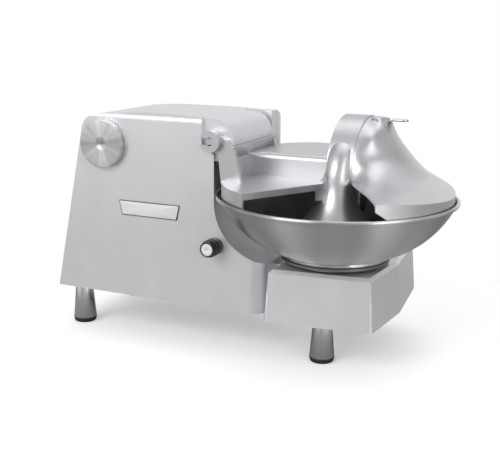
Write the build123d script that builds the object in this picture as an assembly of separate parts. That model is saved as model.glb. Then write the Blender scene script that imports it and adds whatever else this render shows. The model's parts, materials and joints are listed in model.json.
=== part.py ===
from build123d import *
from math import atan2, cos, degrees, hypot, radians, sin, sqrt
import os

# Meat bowl cutter. Millimetres, +X to the operator's right, +Y away from the operator, +Z up.
# Every piece is built about the axis of the bowl, with z = 0 on the worktop. At the end the whole
# machine is carried along X, so that its origin is on the worktop under the middle of the machine.

# ---------------------------------------------------------------- overall places
HOUSING_REACH = 583.0        # bowl axis to the left foot of the housing
HOUSING_CROWN_Z = 461.0      # highest line of the housing's crowned top
LEG_HEIGHT = 88.0            # worktop to the underside of both castings
HINGE_DROP = 45.0            # from the crown down to the hinge pin
SHAFT_DROP = 71.0            # from the hinge pin down to the knife shaft
HINGE_Z = HOUSING_CROWN_Z - HINGE_DROP
SHAFT_Y = 112.0
SHAFT_Z = HINGE_Z - SHAFT_DROP
RUNNING_GAP = 0.05           # radial clearance of a turning fit
LOOSE_GAP = 0.4              # clearance beside pieces that move or drop in

# ---------------------------------------------------------------- bowl
RIM_RADIUS = 228.6           # outside of the rolled rim: an 18 inch bowl
RIM_BEAD = 3.5               # section radius of the rolled rim
BOWL_WALL = 2.0
BOWL_FLAT = 50.0             # radius of the flat floor, where the dished wall starts
BOWL_DEPTH = 110.3           # from the flat floor up to where the wall runs into the rim
BOWL_FLOOR_Z = 200.0         # underside of the flat floor
BOWL_LIP = RIM_RADIUS - 1.75 * RIM_BEAD
BOWL_RUN = BOWL_LIP - BOWL_FLAT
BOWL_ARC = (BOWL_RUN ** 2 + BOWL_DEPTH ** 2) / (2 * BOWL_DEPTH)
POST_TOP_Z = 284.0           # top of the post in the middle of the bowl
POST_TOP_RADIUS = 13.0
POST_SHOULDER = 8.0          # rounding of the post's top
POST_FOOT_RADIUS = 34.0
SOCKET_WALL = 4.0            # tube inside the post that drops over the spindle
SOCKET_DEPTH = 48.0
FOOT_RING_RADIUS = 104.0     # welded ring under the bowl
FOOT_RING_WIDTH = 7.0
FOOT_RING_GAP = 1.6          # daylight between that ring and the drive plate

# ---------------------------------------------------------------- bowl support casting
SUPPORT_FRONT_LEFT = (-97.0, -123.0)
SUPPORT_FRONT_RIGHT = (108.0, -99.0)
SUPPORT_SIDE = (120.0, 43.0)
SUPPORT_REAR_RIGHT = (102.0, 222.0)
SUPPORT_REAR_LEFT = (-92.0, 222.0)
SUPPORT_DRAFT = 4.5          # degrees
SUPPORT_EDGE_Z = 182.0       # top outer edge
SUPPORT_CROWN = 6.0          # bevel above that edge
SUPPORT_WALL = 6.0
SUPPORT_CORNER = 7.0         # radius of the upright corners

# ---------------------------------------------------------------- housing casting
HOUSING_FRONT = -90.0
HOUSING_BACK = 205.0
HOUSING_WALL = 5.0
HOUSING_LEAN = 76.0          # how far the left side leans in over its height
HOUSING_LEFT_TOP_Z = HOUSING_CROWN_Z - 12.0
HOUSING_CORNER = 22.0        # rounding of the top left corner
HOUSING_FRONT_EDGE = 7.0     # rounding along the front face
HOUSING_BACK_ROUND = 100.0   # large rounding from the top into the back
HOUSING_TAIL_ROUND = 58.0    # upright corner at the back, beside the bowl
SHOULDER_X = -112.0          # right wall of the low part under the bowl
SHOULDER_CORNER = 26.0
SHOULDER_BACK = 150.0
HEAD_X = -184.0              # right end of the top, behind the hinge barrel
SCOOP_GAP = 4.4              # between the rim and the hollow round the bowl
SCOOP_ARC = 112.0            # section radius of that hollow
SCOOP_TOP_Z = HINGE_Z - 20.0
PLATE = 3.0                  # sheet of the bottom plates
PAD_HEIGHT = 16.0            # cast pads that take the legs
PAD_REACH = 12.0             # from a leg's centre to the pad's free sides

# ---------------------------------------------------------------- legs
LEG_LEFT_X = 31.0 - HOUSING_REACH
LEG_RIGHT_X = -6.0
LEG_FRONT_Y = -44.0
LEG_REAR_Y = 165.0
LEG_TOP_RADIUS = 17.0
LEG_FOOT_RADIUS = 24.0
FOOT_HEIGHT = 9.0
STUD_RADIUS = 5.0
STUD_LENGTH = 12.0
STUD_HOLE = STUD_RADIUS + 0.1

# ---------------------------------------------------------------- hinge
HINGE_X = -218.0
BARREL_RADIUS = 40.0
BARREL_FRONT = -79.5
BARREL_BACK = 98.0
PIN_RADIUS = 8.0
PIN_FLAT = 6.0               # half width across the flats at the pin's ends
CHEEK = 11.0                 # thickness of the cover's two hinge cheeks
BOSS_RADIUS = 20.5
BOSS_PROUD = 12.0            # how far the front boss stands out of its cheek
APRON_GAP = 1.2              # round the barrel
APRON_WALL = 4.5
APRON_TOP_ANGLE = -12.0      # degrees round the barrel
APRON_LOW_ANGLE = -52.0

# ---------------------------------------------------------------- cover
COVER_RADIUS = RIM_RADIUS - 10.1
COVER_WALL = 3.5
SKIRT_Z = 310.0
LID_Z = 342.0                # flat of the left wing
RIGHT_FOLD_Z = 321.0         # top of the plain skirt that the cape stands on
FEED_LEFT_ANGLE = 240.0      # the feed opening's left edge, a ray from the bowl axis
FEED_RIGHT_FOOT_Y = 0.5      # its right edge starts at the hood's right face here
FEED_RIGHT_ANGLE = -59.8     # and runs out to the rim in this direction
LIP_DROP = 12.0              # turned down edge of the left wing
TUNNEL_FRONT_Y = 2.0
TUNNEL_HALF = 84.0           # from the shaft to the tunnel's rear wall
TUNNEL_Z = SHAFT_Z + 42.0
TUNNEL_ROUND = 12.0
HOOD_LEFT_X = -24.0
HOOD_RIGHT_X = 26.0
HOOD_RADIUS = 113.0
COVE = 15.0                  # hollow rounding between the column, the wing and the tunnel
# The bell over the bowl's post, and its neck leaning back into the hood: circles, each as
# (height over the knife shaft, distance back from the bowl axis, radius).
BELL_CIRCLES = (
    (-77.0, 0.0, 64.0),
    (-69.0, 0.0, 57.5),
    (-57.0, 0.0, 47.5),
    (-42.0, 0.0, 38.0),
    (-23.0, 0.0, 29.5),
    (-3.0, 0.0, 25.0),
    (13.0, 1.0, 23.5),
    (27.0, 5.0, 23.0),
    (43.0, 14.0, 23.0),
    (60.0, 31.0, 23.0),
    (75.0, 58.0, 23.0),
)
COVE_NECK = 25.0             # radius of the neck where the cove over the wing runs into it
SHAFT_NOTCH = 20.0           # half width of the notch that clears the knife sleeve
# Level lines of the cape. Each starts with its height over the knife shaft; then come the distances, at
# CAPE_ANGLES, from the upright line where the hood's right face meets the plane of the knife shaft.
CAPE_ANGLES = (-90.0, -80.0, -68.0, -50.0, -30.0, 0.0, 45.0, 90.0)
CAPE_LEVELS = (
    (-25.0, 111.2, 200.0, 345.0, 310.0, 246.0, 190.0, 140.0, 107.0),
    (-11.0, 111.2, 190.0, 332.0, 272.0, 204.0, 162.0, 128.0, 106.5),
    (-5.0, 111.2, 168.0, 314.0, 238.0, 180.0, 146.0, 122.0, 106.0),
    (1.0, 111.2, 142.0, 222.0, 178.0, 152.0, 131.0, 117.0, 105.0),
    (11.0, 110.8, 121.0, 142.0, 132.0, 122.0, 112.0, 108.0, 104.0),
    (33.0, 106.2, 105.0, 102.0, 95.0, 88.0, 84.0, 92.0, 100.0),
    (61.0, 93.2, 90.5, 84.0, 73.0, 65.0, 60.0, 70.0, 88.0),
    (93.0, 58.5, 58.5, 57.0, 52.0, 48.0, 45.0, 49.0, 57.0),
    (110.0, 12.0, 14.5, 20.0, 26.0, 30.5, 32.0, 25.0, 12.0),
)
TAB_LENGTH = 35.0
TAB_WIDTH = 20.0
TAB_THICKNESS = 4.0
TAB_X = 66.6
TAB_LEAN = 2.6               # how far its root leans over its thickness
TAB_Y = 112.0
TAB_Z = SHAFT_Z + 104.0

# ---------------------------------------------------------------- knife shaft and knives
SHAFT_RADIUS = 11.0
SHAFT_RIGHT_X = 32.0
SLEEVE_RADIUS = 15.5
KNIFE_RADIUS = 100.0
KNIFE_THICKNESS = 4.0
KNIFE_HUB_RADIUS = 23.0
KNIFE_SPACING = 16.0         # between the two knives
KNIFE_X = -10.0              # left face of the first knife
NUT_RADIUS = 19.0
NUT_LENGTH = 16.0
CARRIER_RADIUS = 25.0
CARRIER_NOSE_X = -205.0
CARRIER_FLANGE_X = -246.0
CARRIER_FLANGE_RADIUS = 30.0
CARRIER_FLANGE = 7.0

# ---------------------------------------------------------------- motor
MOTOR_LEFT_X = -405.0
MOTOR_RIGHT_X = -284.0
MOTOR_RADIUS = 74.0
MOTOR_WALL = 4.0
STATOR_BORE = 46.0
AIR_GAP = 0.6
WEB = 6.0                    # the housing's inner web that the motor bolts to
MOTOR_BELL_HOLE = 32.0       # opening in that web
BELL_THICKNESS = 9.0
BEARING_RADIUS = 26.0
BEARING_WIDTH = 14.0
FAN_RADIUS = 58.0
FAN_WIDTH = 9.0

# ---------------------------------------------------------------- drives
PULLEY_X = -270.0
PULLEY_WIDTH = 17.0
DRIVE_PULLEY_RADIUS = 30.0
WORM_PULLEY_RADIUS = 39.0    # 1.3 times the drive pulley
BELT_THICKNESS = 4.5
WORM_Y = 55.0
WORM_Z = LEG_HEIGHT + 49.0
WORM_SHAFT_RADIUS = 9.0
WORM_ROOT_RADIUS = 10.4
WORM_RIGHT_X = 52.0
WHEEL_RADIUS = 44.0          # over the teeth
WHEEL_FACE = 18.0
WHEEL_TEETH = 60
TOOTH_DEPTH = 4.0
SPINDLE_RADIUS = 12.5
SPINDLE_NOSE_RADIUS = 14.0
SPINDLE_NOSE_Z = 246.0
DRIVE_PLATE_RADIUS = 104.0
DRIVE_PLATE = 6.5

# ---------------------------------------------------------------- attachment hub
HUB_X = MOTOR_LEFT_X - 54.0
HUB_Z = SHAFT_Z + 52.0
HUB_WORM_HALF = 22.0
SHAFT_LEFT_X = HUB_X - HUB_WORM_HALF - 7.0
HUB_BORE = 26.0
HUB_BORE_LENGTH = 45.0
HUB_COUNTERBORE = 30.0
HUB_COUNTERBORE_DEPTH = 14.0
HUB_OUTER = 38.0
HUB_FLANGE = 8.0
PLUG_RADIUS = 48.5
PLUG_THICKNESS = 14.0
PLUG_REGISTER = 12.0         # how far the plug's register reaches into the counterbore
HUB_TEETH = 36

# ---------------------------------------------------------------- front fittings
SWITCH_X = -212.0
SWITCH_Z = 214.0
SWITCH_BEZEL_RADIUS = 17.0
SWITCH_BEZEL = 15.0
SWITCH_KNOB_RADIUS = 15.0
SWITCH_REACH = 36.0          # panel to the face of the pushed knob
BADGE_X = -358.0
BADGE_Z = 270.5
BADGE_TOP_WIDTH = 138.0
BADGE_BOTTOM_WIDTH = 125.0
BADGE_HEIGHT = 30.0
BADGE_THICKNESS = 2.0


# ---------------------------------------------------------------- fasteners
BOLT_RADIUS = 4.0            # bolts between the two castings
BOLT_HEAD_RADIUS = 6.5
BOLT_HEAD = 5.0
BOLT_LENGTH = 20.0           # into the support's flange
BOLT_YS = (-14.0, 112.0)
BOLT_RISES = (22.0, 74.0)    # over the underside of the castings
MOTOR_BOLT_CIRCLE = 62.0
MOTOR_BOLT_RADIUS = 3.0
HUB_SCREW_CIRCLE = 41.5
HUB_SCREW_RADIUS = 2.0
SCREW_RADIUS = 2.5           # screws of the bottom plates
SCREW_HEAD_RADIUS = 4.5
SCREW_HEAD = 2.5
SCREW_LENGTH = 10.0          # above the plate
LUG = 14.0                   # side and height of the cast lugs that take those screws
LUG_INSET = 10.0             # from the outer wall to the screw
HOLE_GAP = 0.1               # radial clearance of a bolt or screw in its hole
HOUSING_SCREW_XS = (-420.0, -250.0)
SUPPORT_SCREWS = ((-60.0, -103.0), (80.0, -85.0), (101.0, 60.0), (70.0, 206.0), (-60.0, 206.0))
CAPACITOR_RADIUS = 22.0
CAPACITOR_LENGTH = 90.0
CAPACITOR_Y = 4.0
CAPACITOR_RISE = 132.0       # over the underside of the casting
BRACKET_WIDTH = 40.0
BRACKET_SHEET = 3.0


# ================================================================ small shape makers
def block(x0, x1, y0, y1, z0, z1):
    """A box between two corners."""
    middle = Pos((x0 + x1) / 2, (y0 + y1) / 2, (z0 + z1) / 2)
    return middle * Box(x1 - x0, y1 - y0, z1 - z0)


def rod_x(radius, start, end, y, z):
    """A round bar along X."""
    plane = Plane(origin=(start, y, z), x_dir=(0, 1, 0), z_dir=(1, 0, 0))
    return extrude(plane * Circle(radius), end - start)


def rod_y(radius, start, end, x, z):
    """A round bar along Y."""
    plane = Plane(origin=(x, start, z), x_dir=(1, 0, 0), z_dir=(0, 1, 0))
    return extrude(plane * Circle(radius), end - start)


def rod_z(radius, start, end, x=0.0, y=0.0):
    """A round bar along Z."""
    return Pos(x, y, start) * extrude(Circle(radius), end - start)


def turned(points):
    """A solid turned about the bowl axis from a closed outline of (radius, height) points."""
    outline = Polyline([(r, 0, z) for r, z in points], close=True)
    return revolve(make_face(outline), Axis.Z)


def front_face(edges):
    """A face in the XZ plane from edges of (x, z) points that are already three-dimensional."""
    return make_face(Curve() + edges)


def along_y(face, y0, y1):
    """Carry a face of the XZ plane from y0 to y1."""
    return extrude(Pos(0, y0, 0) * face, y1 - y0, dir=(0, 1, 0))


def along_x(face, x0, x1):
    """Carry a face of the YZ plane from x0 to x1."""
    return extrude(Pos(x0, 0, 0) * face, x1 - x0, dir=(1, 0, 0))


def polygon_xz(points):
    """A face in the XZ plane."""
    return make_face(Polyline([(x, 0, z) for x, z in points], close=True))


def polygon_yz(points):
    """A face in the YZ plane."""
    return make_face(Polyline([(0, y, z) for y, z in points], close=True))


def cross_bolts(radius, x0, x1):
    """The bars or holes of the four bolts between the castings."""
    return [rod_x(radius, x0, x1, y, LEG_HEIGHT + rise) for y in BOLT_YS for rise in BOLT_RISES]


def round_the_shaft(radius, x0, x1, circle, count):
    """Bars parallel to the knife shaft, spaced evenly round it."""
    bars = []
    for step in range(count):
        turn = radians(45.0 + 360.0 * step / count)
        bars.append(rod_x(radius, x0, x1, SHAFT_Y + circle * cos(turn), SHAFT_Z + circle * sin(turn)))
    return bars


def round_the_hub(radius, y0, y1):
    """Bars parallel to the attachment hub, spaced evenly round it."""
    bars = []
    for step in range(4):
        turn = radians(45.0 + 90.0 * step)
        x = HUB_X + HUB_SCREW_CIRCLE * cos(turn)
        bars.append(rod_y(radius, y0, y1, x, HUB_Z + HUB_SCREW_CIRCLE * sin(turn)))
    return bars


def housing_screw_places():
    """The screws of the housing's bottom plate."""
    ys = (HOUSING_FRONT + LUG_INSET + HOUSING_WALL, HOUSING_BACK - LUG_INSET - HOUSING_WALL)
    return [(x, y) for x in HOUSING_SCREW_XS for y in ys]


def plate_screws(places):
    """Flat-headed screws from below, heads under the plate."""
    low = LEG_HEIGHT - SCREW_HEAD
    top = LEG_HEIGHT + PLATE + SCREW_LENGTH
    screws = []
    for x, y in places:
        head = rod_z(SCREW_HEAD_RADIUS, low, LEG_HEIGHT, x, y)
        screws.append(head + rod_z(SCREW_RADIUS, LEG_HEIGHT, top, x, y))
    return Compound(children=screws)


def screw_holes(places, z0, z1):
    """The holes that those screws pass."""
    return [rod_z(SCREW_RADIUS + HOLE_GAP, z0, z1, x, y) for x, y in places]


def leg_places():
    """The four legs, left to right and front to rear."""
    return [(x, y) for x in (LEG_LEFT_X, LEG_RIGHT_X) for y in (LEG_FRONT_Y, LEG_REAR_Y)]


# ================================================================ bowl
def bowl_wall_z(radius, inside):
    """Height of the dished wall at a radius, on its underside or inside it."""
    section = BOWL_ARC - (BOWL_WALL if inside else 0.0)
    centre = BOWL_FLOOR_Z + BOWL_ARC
    return centre - sqrt(section ** 2 - (radius - BOWL_FLAT) ** 2)


def make_bowl():
    """The spun bowl: rolled rim, dished wall, flat floor, centre post, socket and foot ring."""
    half = (BOWL_LIP + BOWL_FLAT) / 2
    top = BOWL_FLOOR_Z + BOWL_WALL
    under = [(r, 0, bowl_wall_z(r, False)) for r in (BOWL_FLAT, half, BOWL_LIP)]
    over = [(r, 0, bowl_wall_z(r, True)) for r in (BOWL_LIP, half, BOWL_FLAT)]
    foot = POST_FOOT_RADIUS
    shoulder = POST_TOP_RADIUS + POST_SHOULDER
    skin = Polyline(
        over[-1],
        (foot + POST_SHOULDER, 0, top),
        (foot, 0, top + POST_SHOULDER),
        (shoulder, 0, POST_TOP_Z - POST_SHOULDER),
        (POST_TOP_RADIUS, 0, POST_TOP_Z),
        (0, 0, POST_TOP_Z),
        (0, 0, POST_TOP_Z - BOWL_WALL),
        (POST_TOP_RADIUS - BOWL_WALL / 2, 0, POST_TOP_Z - BOWL_WALL),
        (shoulder - BOWL_WALL, 0, POST_TOP_Z - POST_SHOULDER - BOWL_WALL / 2),
        (foot - BOWL_WALL, 0, top + POST_SHOULDER - BOWL_WALL / 2),
        (foot + POST_SHOULDER - BOWL_WALL, 0, BOWL_FLOOR_Z),
        under[0],
    )
    wall = revolve(
        make_face(Curve() + [ThreePointArc(*under), Line(under[-1], over[0]), ThreePointArc(*over), skin]),
        Axis.Z,
    )
    bead_centre = (RIM_RADIUS - RIM_BEAD, 0, (under[-1][2] + over[0][2]) / 2)
    bead_plane = Plane(origin=bead_centre, x_dir=(1, 0, 0), z_dir=(0, -1, 0))
    bead = revolve(bead_plane * Circle(RIM_BEAD), Axis.Z)
    socket_bore = SPINDLE_NOSE_RADIUS + RUNNING_GAP
    socket = turned([
        (socket_bore, BOWL_FLOOR_Z),
        (foot + POST_SHOULDER, BOWL_FLOOR_Z),
        (foot + POST_SHOULDER - BOWL_WALL, top),
        (socket_bore + SOCKET_WALL, top),
        (socket_bore + SOCKET_WALL, BOWL_FLOOR_Z + SOCKET_DEPTH),
        (socket_bore, BOWL_FLOOR_Z + SOCKET_DEPTH),
    ])
    inner = FOOT_RING_RADIUS - FOOT_RING_WIDTH
    ring = turned([
        (inner, BOWL_FLOOR_Z + FOOT_RING_GAP),
        (FOOT_RING_RADIUS, BOWL_FLOOR_Z + FOOT_RING_GAP),
        (FOOT_RING_RADIUS, bowl_wall_z(FOOT_RING_RADIUS, False) + BOWL_WALL / 2),
        (inner, bowl_wall_z(inner, False) + BOWL_WALL / 2),
    ])
    return wall + bead + socket + ring


def make_bowl_drive_plate():
    """The disc that carries the bowl, with its hub."""
    top = BOWL_FLOOR_Z
    low = top - DRIVE_PLATE
    bore = SPINDLE_NOSE_RADIUS
    return turned([
        (bore, low - DRIVE_PLATE),
        (bore + 9.0, low - DRIVE_PLATE),
        (bore + 9.0, low),
        (DRIVE_PLATE_RADIUS - 2.5, low),
        (DRIVE_PLATE_RADIUS, low + 2.0),
        (DRIVE_PLATE_RADIUS, top - 1.0),
        (DRIVE_PLATE_RADIUS - 1.0, top),
        (bore, top),
    ])


# ================================================================ spindle, worm and wheel
SUPPORT_TOP_Z = SUPPORT_EDGE_Z + SUPPORT_CROWN
SPINDLE_SHOULDER_Z = BOWL_FLOOR_Z - 2 * DRIVE_PLATE
UPPER_BEARING_Z = SPINDLE_SHOULDER_Z - 8.0 - BEARING_WIDTH
LOWER_BEARING_Z = LEG_HEIGHT + PLATE + 6.0
BEARING_BOSS = BEARING_RADIUS + 8.0
WORM_BEARING_RADIUS = 19.0
WORM_BEARING_WIDTH = 12.0
WORM_BEARING_XS = (SHOULDER_X + 12.0, WORM_RIGHT_X - WORM_BEARING_WIDTH)


def make_bowl_spindle():
    """The upright shaft that turns the bowl."""
    return turned([
        (0, LOWER_BEARING_Z),
        (SPINDLE_RADIUS, LOWER_BEARING_Z),
        (SPINDLE_RADIUS, SPINDLE_SHOULDER_Z - 4.0),
        (SPINDLE_NOSE_RADIUS + 3.0, SPINDLE_SHOULDER_Z - 4.0),
        (SPINDLE_NOSE_RADIUS + 3.0, SPINDLE_SHOULDER_Z),
        (SPINDLE_NOSE_RADIUS, SPINDLE_SHOULDER_Z),
        (SPINDLE_NOSE_RADIUS, SPINDLE_NOSE_Z - 4.0),
        (SPINDLE_NOSE_RADIUS - 4.0, SPINDLE_NOSE_Z),
        (0, SPINDLE_NOSE_Z),
    ])


def make_spindle_bearings():
    """Two ball bearings, each drawn as one grooved ring."""
    rings = []
    for low in (UPPER_BEARING_Z, LOWER_BEARING_Z):
        ring = rod_z(BEARING_RADIUS, low, low + BEARING_WIDTH)
        rings.append(ring - rod_z(SPINDLE_RADIUS + RUNNING_GAP, low, low + BEARING_WIDTH))
    return Compound(children=rings)


def make_spindle_seal():
    """The lip seal over the upper bearing."""
    low = UPPER_BEARING_Z + BEARING_WIDTH
    ring = rod_z(BEARING_RADIUS, low, low + 4.0)
    return ring - rod_z(SPINDLE_RADIUS + LOOSE_GAP, low, low + 4.0)


def toothed_wheel(radius, face, teeth, bore):
    """A gear blank on the XY plane with one straight gap cut between every two teeth."""
    blank = extrude(Circle(radius), face) - extrude(Circle(bore), face)
    gap_width = 3.1416 * radius / teeth
    tool = Pos(radius - TOOTH_DEPTH / 2 + 1.0, 0, face / 2) * Box(TOOTH_DEPTH + 2.0, gap_width, face)
    gaps = [Rot(0, 0, 360.0 * step / teeth) * tool for step in range(teeth)]
    return blank - gaps


def make_worm_wheel():
    """The bronze wheel on the spindle."""
    wheel = toothed_wheel(WHEEL_RADIUS, WHEEL_FACE, WHEEL_TEETH, SPINDLE_RADIUS)
    return Pos(0, 0, WORM_Z - WHEEL_FACE / 2) * wheel


def make_worm_shaft():
    """The cross shaft under the bowl, with the body of its worm beside the wheel."""
    left = PULLEY_X - 6.0
    shaft = rod_x(WORM_SHAFT_RADIUS, left, WORM_RIGHT_X, WORM_Y, WORM_Z)
    return shaft + rod_x(WORM_ROOT_RADIUS, -WHEEL_FACE, WHEEL_FACE, WORM_Y, WORM_Z)


def make_worm_bearings():
    """The two bearings of the cross shaft."""
    rings = []
    for left in WORM_BEARING_XS:
        ring = rod_x(WORM_BEARING_RADIUS, left, left + WORM_BEARING_WIDTH, WORM_Y, WORM_Z)
        bore = rod_x(WORM_SHAFT_RADIUS + RUNNING_GAP, left, left + WORM_BEARING_WIDTH, WORM_Y, WORM_Z)
        rings.append(ring - bore)
    return Compound(children=rings)


def pulley(radius, y, z, bore):
    """A flanged belt pulley."""
    left = PULLEY_X
    right = PULLEY_X + PULLEY_WIDTH
    flange = 2.5
    wheel = rod_x(radius, left, right, y, z)
    wheel += rod_x(radius + 4.0, left, left + flange, y, z)
    wheel += rod_x(radius + 4.0, right - flange, right, y, z)
    return wheel - rod_x(bore, left, right, y, z)


def belt_loop(grow):
    """The belt's loop round both pulleys, grown outwards, as a face in the YZ plane."""
    dy = WORM_Y - SHAFT_Y
    dz = WORM_Z - SHAFT_Z
    reach = hypot(dy, dz)
    small = DRIVE_PULLEY_RADIUS + grow
    large = WORM_PULLEY_RADIUS + grow
    along = atan2(dz, dy)
    swing = atan2(sqrt(reach ** 2 - (large - small) ** 2), small - large)
    loop = []
    for side in (1, -1):
        turn = along + side * swing
        loop.append((0, SHAFT_Y + small * cos(turn), SHAFT_Z + small * sin(turn)))
        loop.append((0, WORM_Y + large * cos(turn), WORM_Z + large * sin(turn)))
    near, far, far_back, near_back = loop[0], loop[1], loop[3], loop[2]
    top = (0, SHAFT_Y - small * cos(along), SHAFT_Z - small * sin(along))
    bottom = (0, WORM_Y + large * cos(along), WORM_Z + large * sin(along))
    edges = [
        Line(near, far),
        ThreePointArc(far, bottom, far_back),
        Line(far_back, near_back),
        ThreePointArc(near_back, top, near),
    ]
    return make_face(Curve() + edges)


def make_drive_belt():
    """The belt from the knife shaft down to the cross shaft."""
    left = PULLEY_X + 3.0
    right = PULLEY_X + PULLEY_WIDTH - 3.0
    outer = along_x(belt_loop(LOOSE_GAP + BELT_THICKNESS), left, right)
    return outer - along_x(belt_loop(LOOSE_GAP), left, right)


# ================================================================ bowl support
def support_plan(inset):
    """Plan of the support casting at its foot, set in by a wall."""
    corners = (
        SUPPORT_FRONT_LEFT,
        SUPPORT_FRONT_RIGHT,
        SUPPORT_SIDE,
        SUPPORT_REAR_RIGHT,
        SUPPORT_REAR_LEFT,
    )
    plan = make_face(Polyline([(x, y, 0) for x, y in corners], close=True))
    plan = fillet(plan.vertices(), SUPPORT_CORNER)
    if inset:
        plan = offset(plan, -inset)
    return plan


def make_bowl_support():
    """The casting under the bowl: drafted shell, bearing bosses, leg pads and mounting face."""
    height = SUPPORT_EDGE_Z - LEG_HEIGHT
    body = Pos(0, 0, LEG_HEIGHT) * extrude(support_plan(0.0), height, taper=SUPPORT_DRAFT)
    rim_face = body.faces().sort_by(Axis.Z)[-1]
    body += extrude(rim_face, SUPPORT_CROWN, taper=45.0)
    hollow_height = SUPPORT_TOP_Z - SUPPORT_WALL - LEG_HEIGHT
    hollow = extrude(support_plan(SUPPORT_WALL), hollow_height, taper=SUPPORT_DRAFT)
    shell = body - Pos(0, 0, LEG_HEIGHT) * hollow
    flange = block(SHOULDER_X, -72.0, -30.0, 140.0, LEG_HEIGHT + PLATE + 1.0, SUPPORT_EDGE_Z - 6.0)
    shell += flange
    shell += rod_z(BEARING_BOSS, UPPER_BEARING_Z, SUPPORT_TOP_Z)
    shell -= rod_z(BEARING_RADIUS, UPPER_BEARING_Z, SUPPORT_TOP_Z)
    shell -= block(-72.0, -66.0, -30.0 + SUPPORT_WALL, 140.0 - SUPPORT_WALL, LEG_HEIGHT, SUPPORT_EDGE_Z - 12.0)
    pedestal_x = WORM_BEARING_XS[1]
    pedestal = block(pedestal_x, pedestal_x + WORM_BEARING_WIDTH, WORM_Y - 27.0, WORM_Y + 27.0,
                     WORM_Z - 26.0, SUPPORT_TOP_Z - SUPPORT_WALL / 2)
    shell += pedestal
    floor = LEG_HEIGHT + PLATE
    for pad_y, far_y in ((LEG_FRONT_Y, -240.0), (LEG_REAR_Y, 240.0)):
        low, high = sorted((pad_y + (PAD_REACH if pad_y < 0 else -PAD_REACH), far_y))
        pad = block(LEG_RIGHT_X - PAD_REACH, LEG_RIGHT_X + PAD_REACH, low, high, floor, floor + PAD_HEIGHT)
        shell += pad & body
        shell -= rod_z(STUD_HOLE, floor, floor + STUD_LENGTH, LEG_RIGHT_X, pad_y)
    shell -= rod_x(WORM_BEARING_RADIUS, SHOULDER_X, SHOULDER_X + 24.0, WORM_Y, WORM_Z)
    shell -= rod_x(WORM_SHAFT_RADIUS + 3.0, SHOULDER_X, WORM_RIGHT_X, WORM_Y, WORM_Z)
    shell -= rod_x(WORM_BEARING_RADIUS, pedestal_x, pedestal_x + WORM_BEARING_WIDTH, WORM_Y, WORM_Z)
    shell -= cross_bolts(BOLT_RADIUS + HOLE_GAP, SHOULDER_X, SHOULDER_X + BOLT_LENGTH + 1.0)
    for x, y in SUPPORT_SCREWS:
        lug = block(x - LUG, x + LUG, y - LUG, y + LUG, floor, floor + LUG)
        shell += lug & body & rod_z(LUG / 2 + LUG_INSET, floor, floor + LUG, x, y)
    shell -= screw_holes(SUPPORT_SCREWS, floor, floor + SCREW_LENGTH + 0.5)
    return shell


def make_support_bottom_plate():
    """The plate that closes the support from below and carries the lower spindle bearing."""
    plate = Pos(0, 0, LEG_HEIGHT) * extrude(support_plan(SUPPORT_WALL + LOOSE_GAP), PLATE)
    cup_top = LOWER_BEARING_Z + BEARING_WIDTH
    plate += rod_z(BEARING_RADIUS + 4.0, LEG_HEIGHT, cup_top) - rod_z(BEARING_RADIUS, LOWER_BEARING_Z, cup_top)
    plate -= rod_z(SPINDLE_RADIUS - 3.0, LEG_HEIGHT, cup_top)
    for y in (LEG_FRONT_Y, LEG_REAR_Y):
        plate -= rod_z(STUD_HOLE, LEG_HEIGHT, LEG_HEIGHT + PLATE, LEG_RIGHT_X, y)
    return plate - screw_holes(SUPPORT_SCREWS, LEG_HEIGHT, LEG_HEIGHT + PLATE)


# ================================================================ housing
SCOOP_RADIUS = RIM_RADIUS + SCOOP_GAP
SCOOP_FLOOR_Z = SUPPORT_EDGE_Z + 4.0


def scoop(grow):
    """The hollow that the bowl turns in: a quarter round from the floor up to an upright wall."""
    centre_r = SCOOP_RADIUS - SCOOP_ARC
    centre_z = SCOOP_FLOOR_Z + SCOOP_ARC
    arc = SCOOP_ARC + grow
    low = (centre_r, 0, centre_z - arc)
    middle = (centre_r + arc * cos(radians(45)), 0, centre_z - arc * sin(radians(45)))
    high = (centre_r + arc, 0, centre_z)
    top = SCOOP_TOP_Z + grow
    outline = Curve() + [
        Line((0, 0, low[2]), low),
        ThreePointArc(low, middle, high),
        Polyline(high, (high[0], 0, top), (0, 0, top), (0, 0, low[2])),
    ]
    return revolve(make_face(outline), Axis.Z)


def housing_front_outline(inset, foot_z):
    """The housing seen from the front: leaning left side, rounded corner, crowned top."""
    rise = HOUSING_LEFT_TOP_Z - LEG_HEIGHT
    slope = HOUSING_LEAN / rise
    shift = inset * sqrt(1 + slope ** 2)
    foot = (-HOUSING_REACH + shift, 0, foot_z)
    corner_x = -HOUSING_REACH + HOUSING_LEAN + shift
    round_r = HOUSING_CORNER - inset / 2
    left_high = (corner_x - slope * round_r, 0, HOUSING_LEFT_TOP_Z - inset - round_r)
    top_left = (corner_x + round_r, 0, HOUSING_LEFT_TOP_Z - inset + 3.0)
    bend = (corner_x + round_r * 0.25, 0, HOUSING_LEFT_TOP_Z - inset - round_r * 0.24)
    crown = ((corner_x + HINGE_X) / 2 + 30.0, 0, HOUSING_CROWN_Z - inset)
    top_right = (HINGE_X, 0, HINGE_Z + BARREL_RADIUS - inset)
    right = (HEAD_X - inset, 0, HINGE_Z + BARREL_RADIUS - inset)
    right_foot = (HEAD_X - inset, 0, foot_z)
    edges = [
        Line(foot, left_high),
        ThreePointArc(left_high, bend, top_left),
        ThreePointArc(top_left, crown, top_right),
        Polyline(top_right, right, right_foot, foot),
    ]
    return make_face(Curve() + edges)


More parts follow.
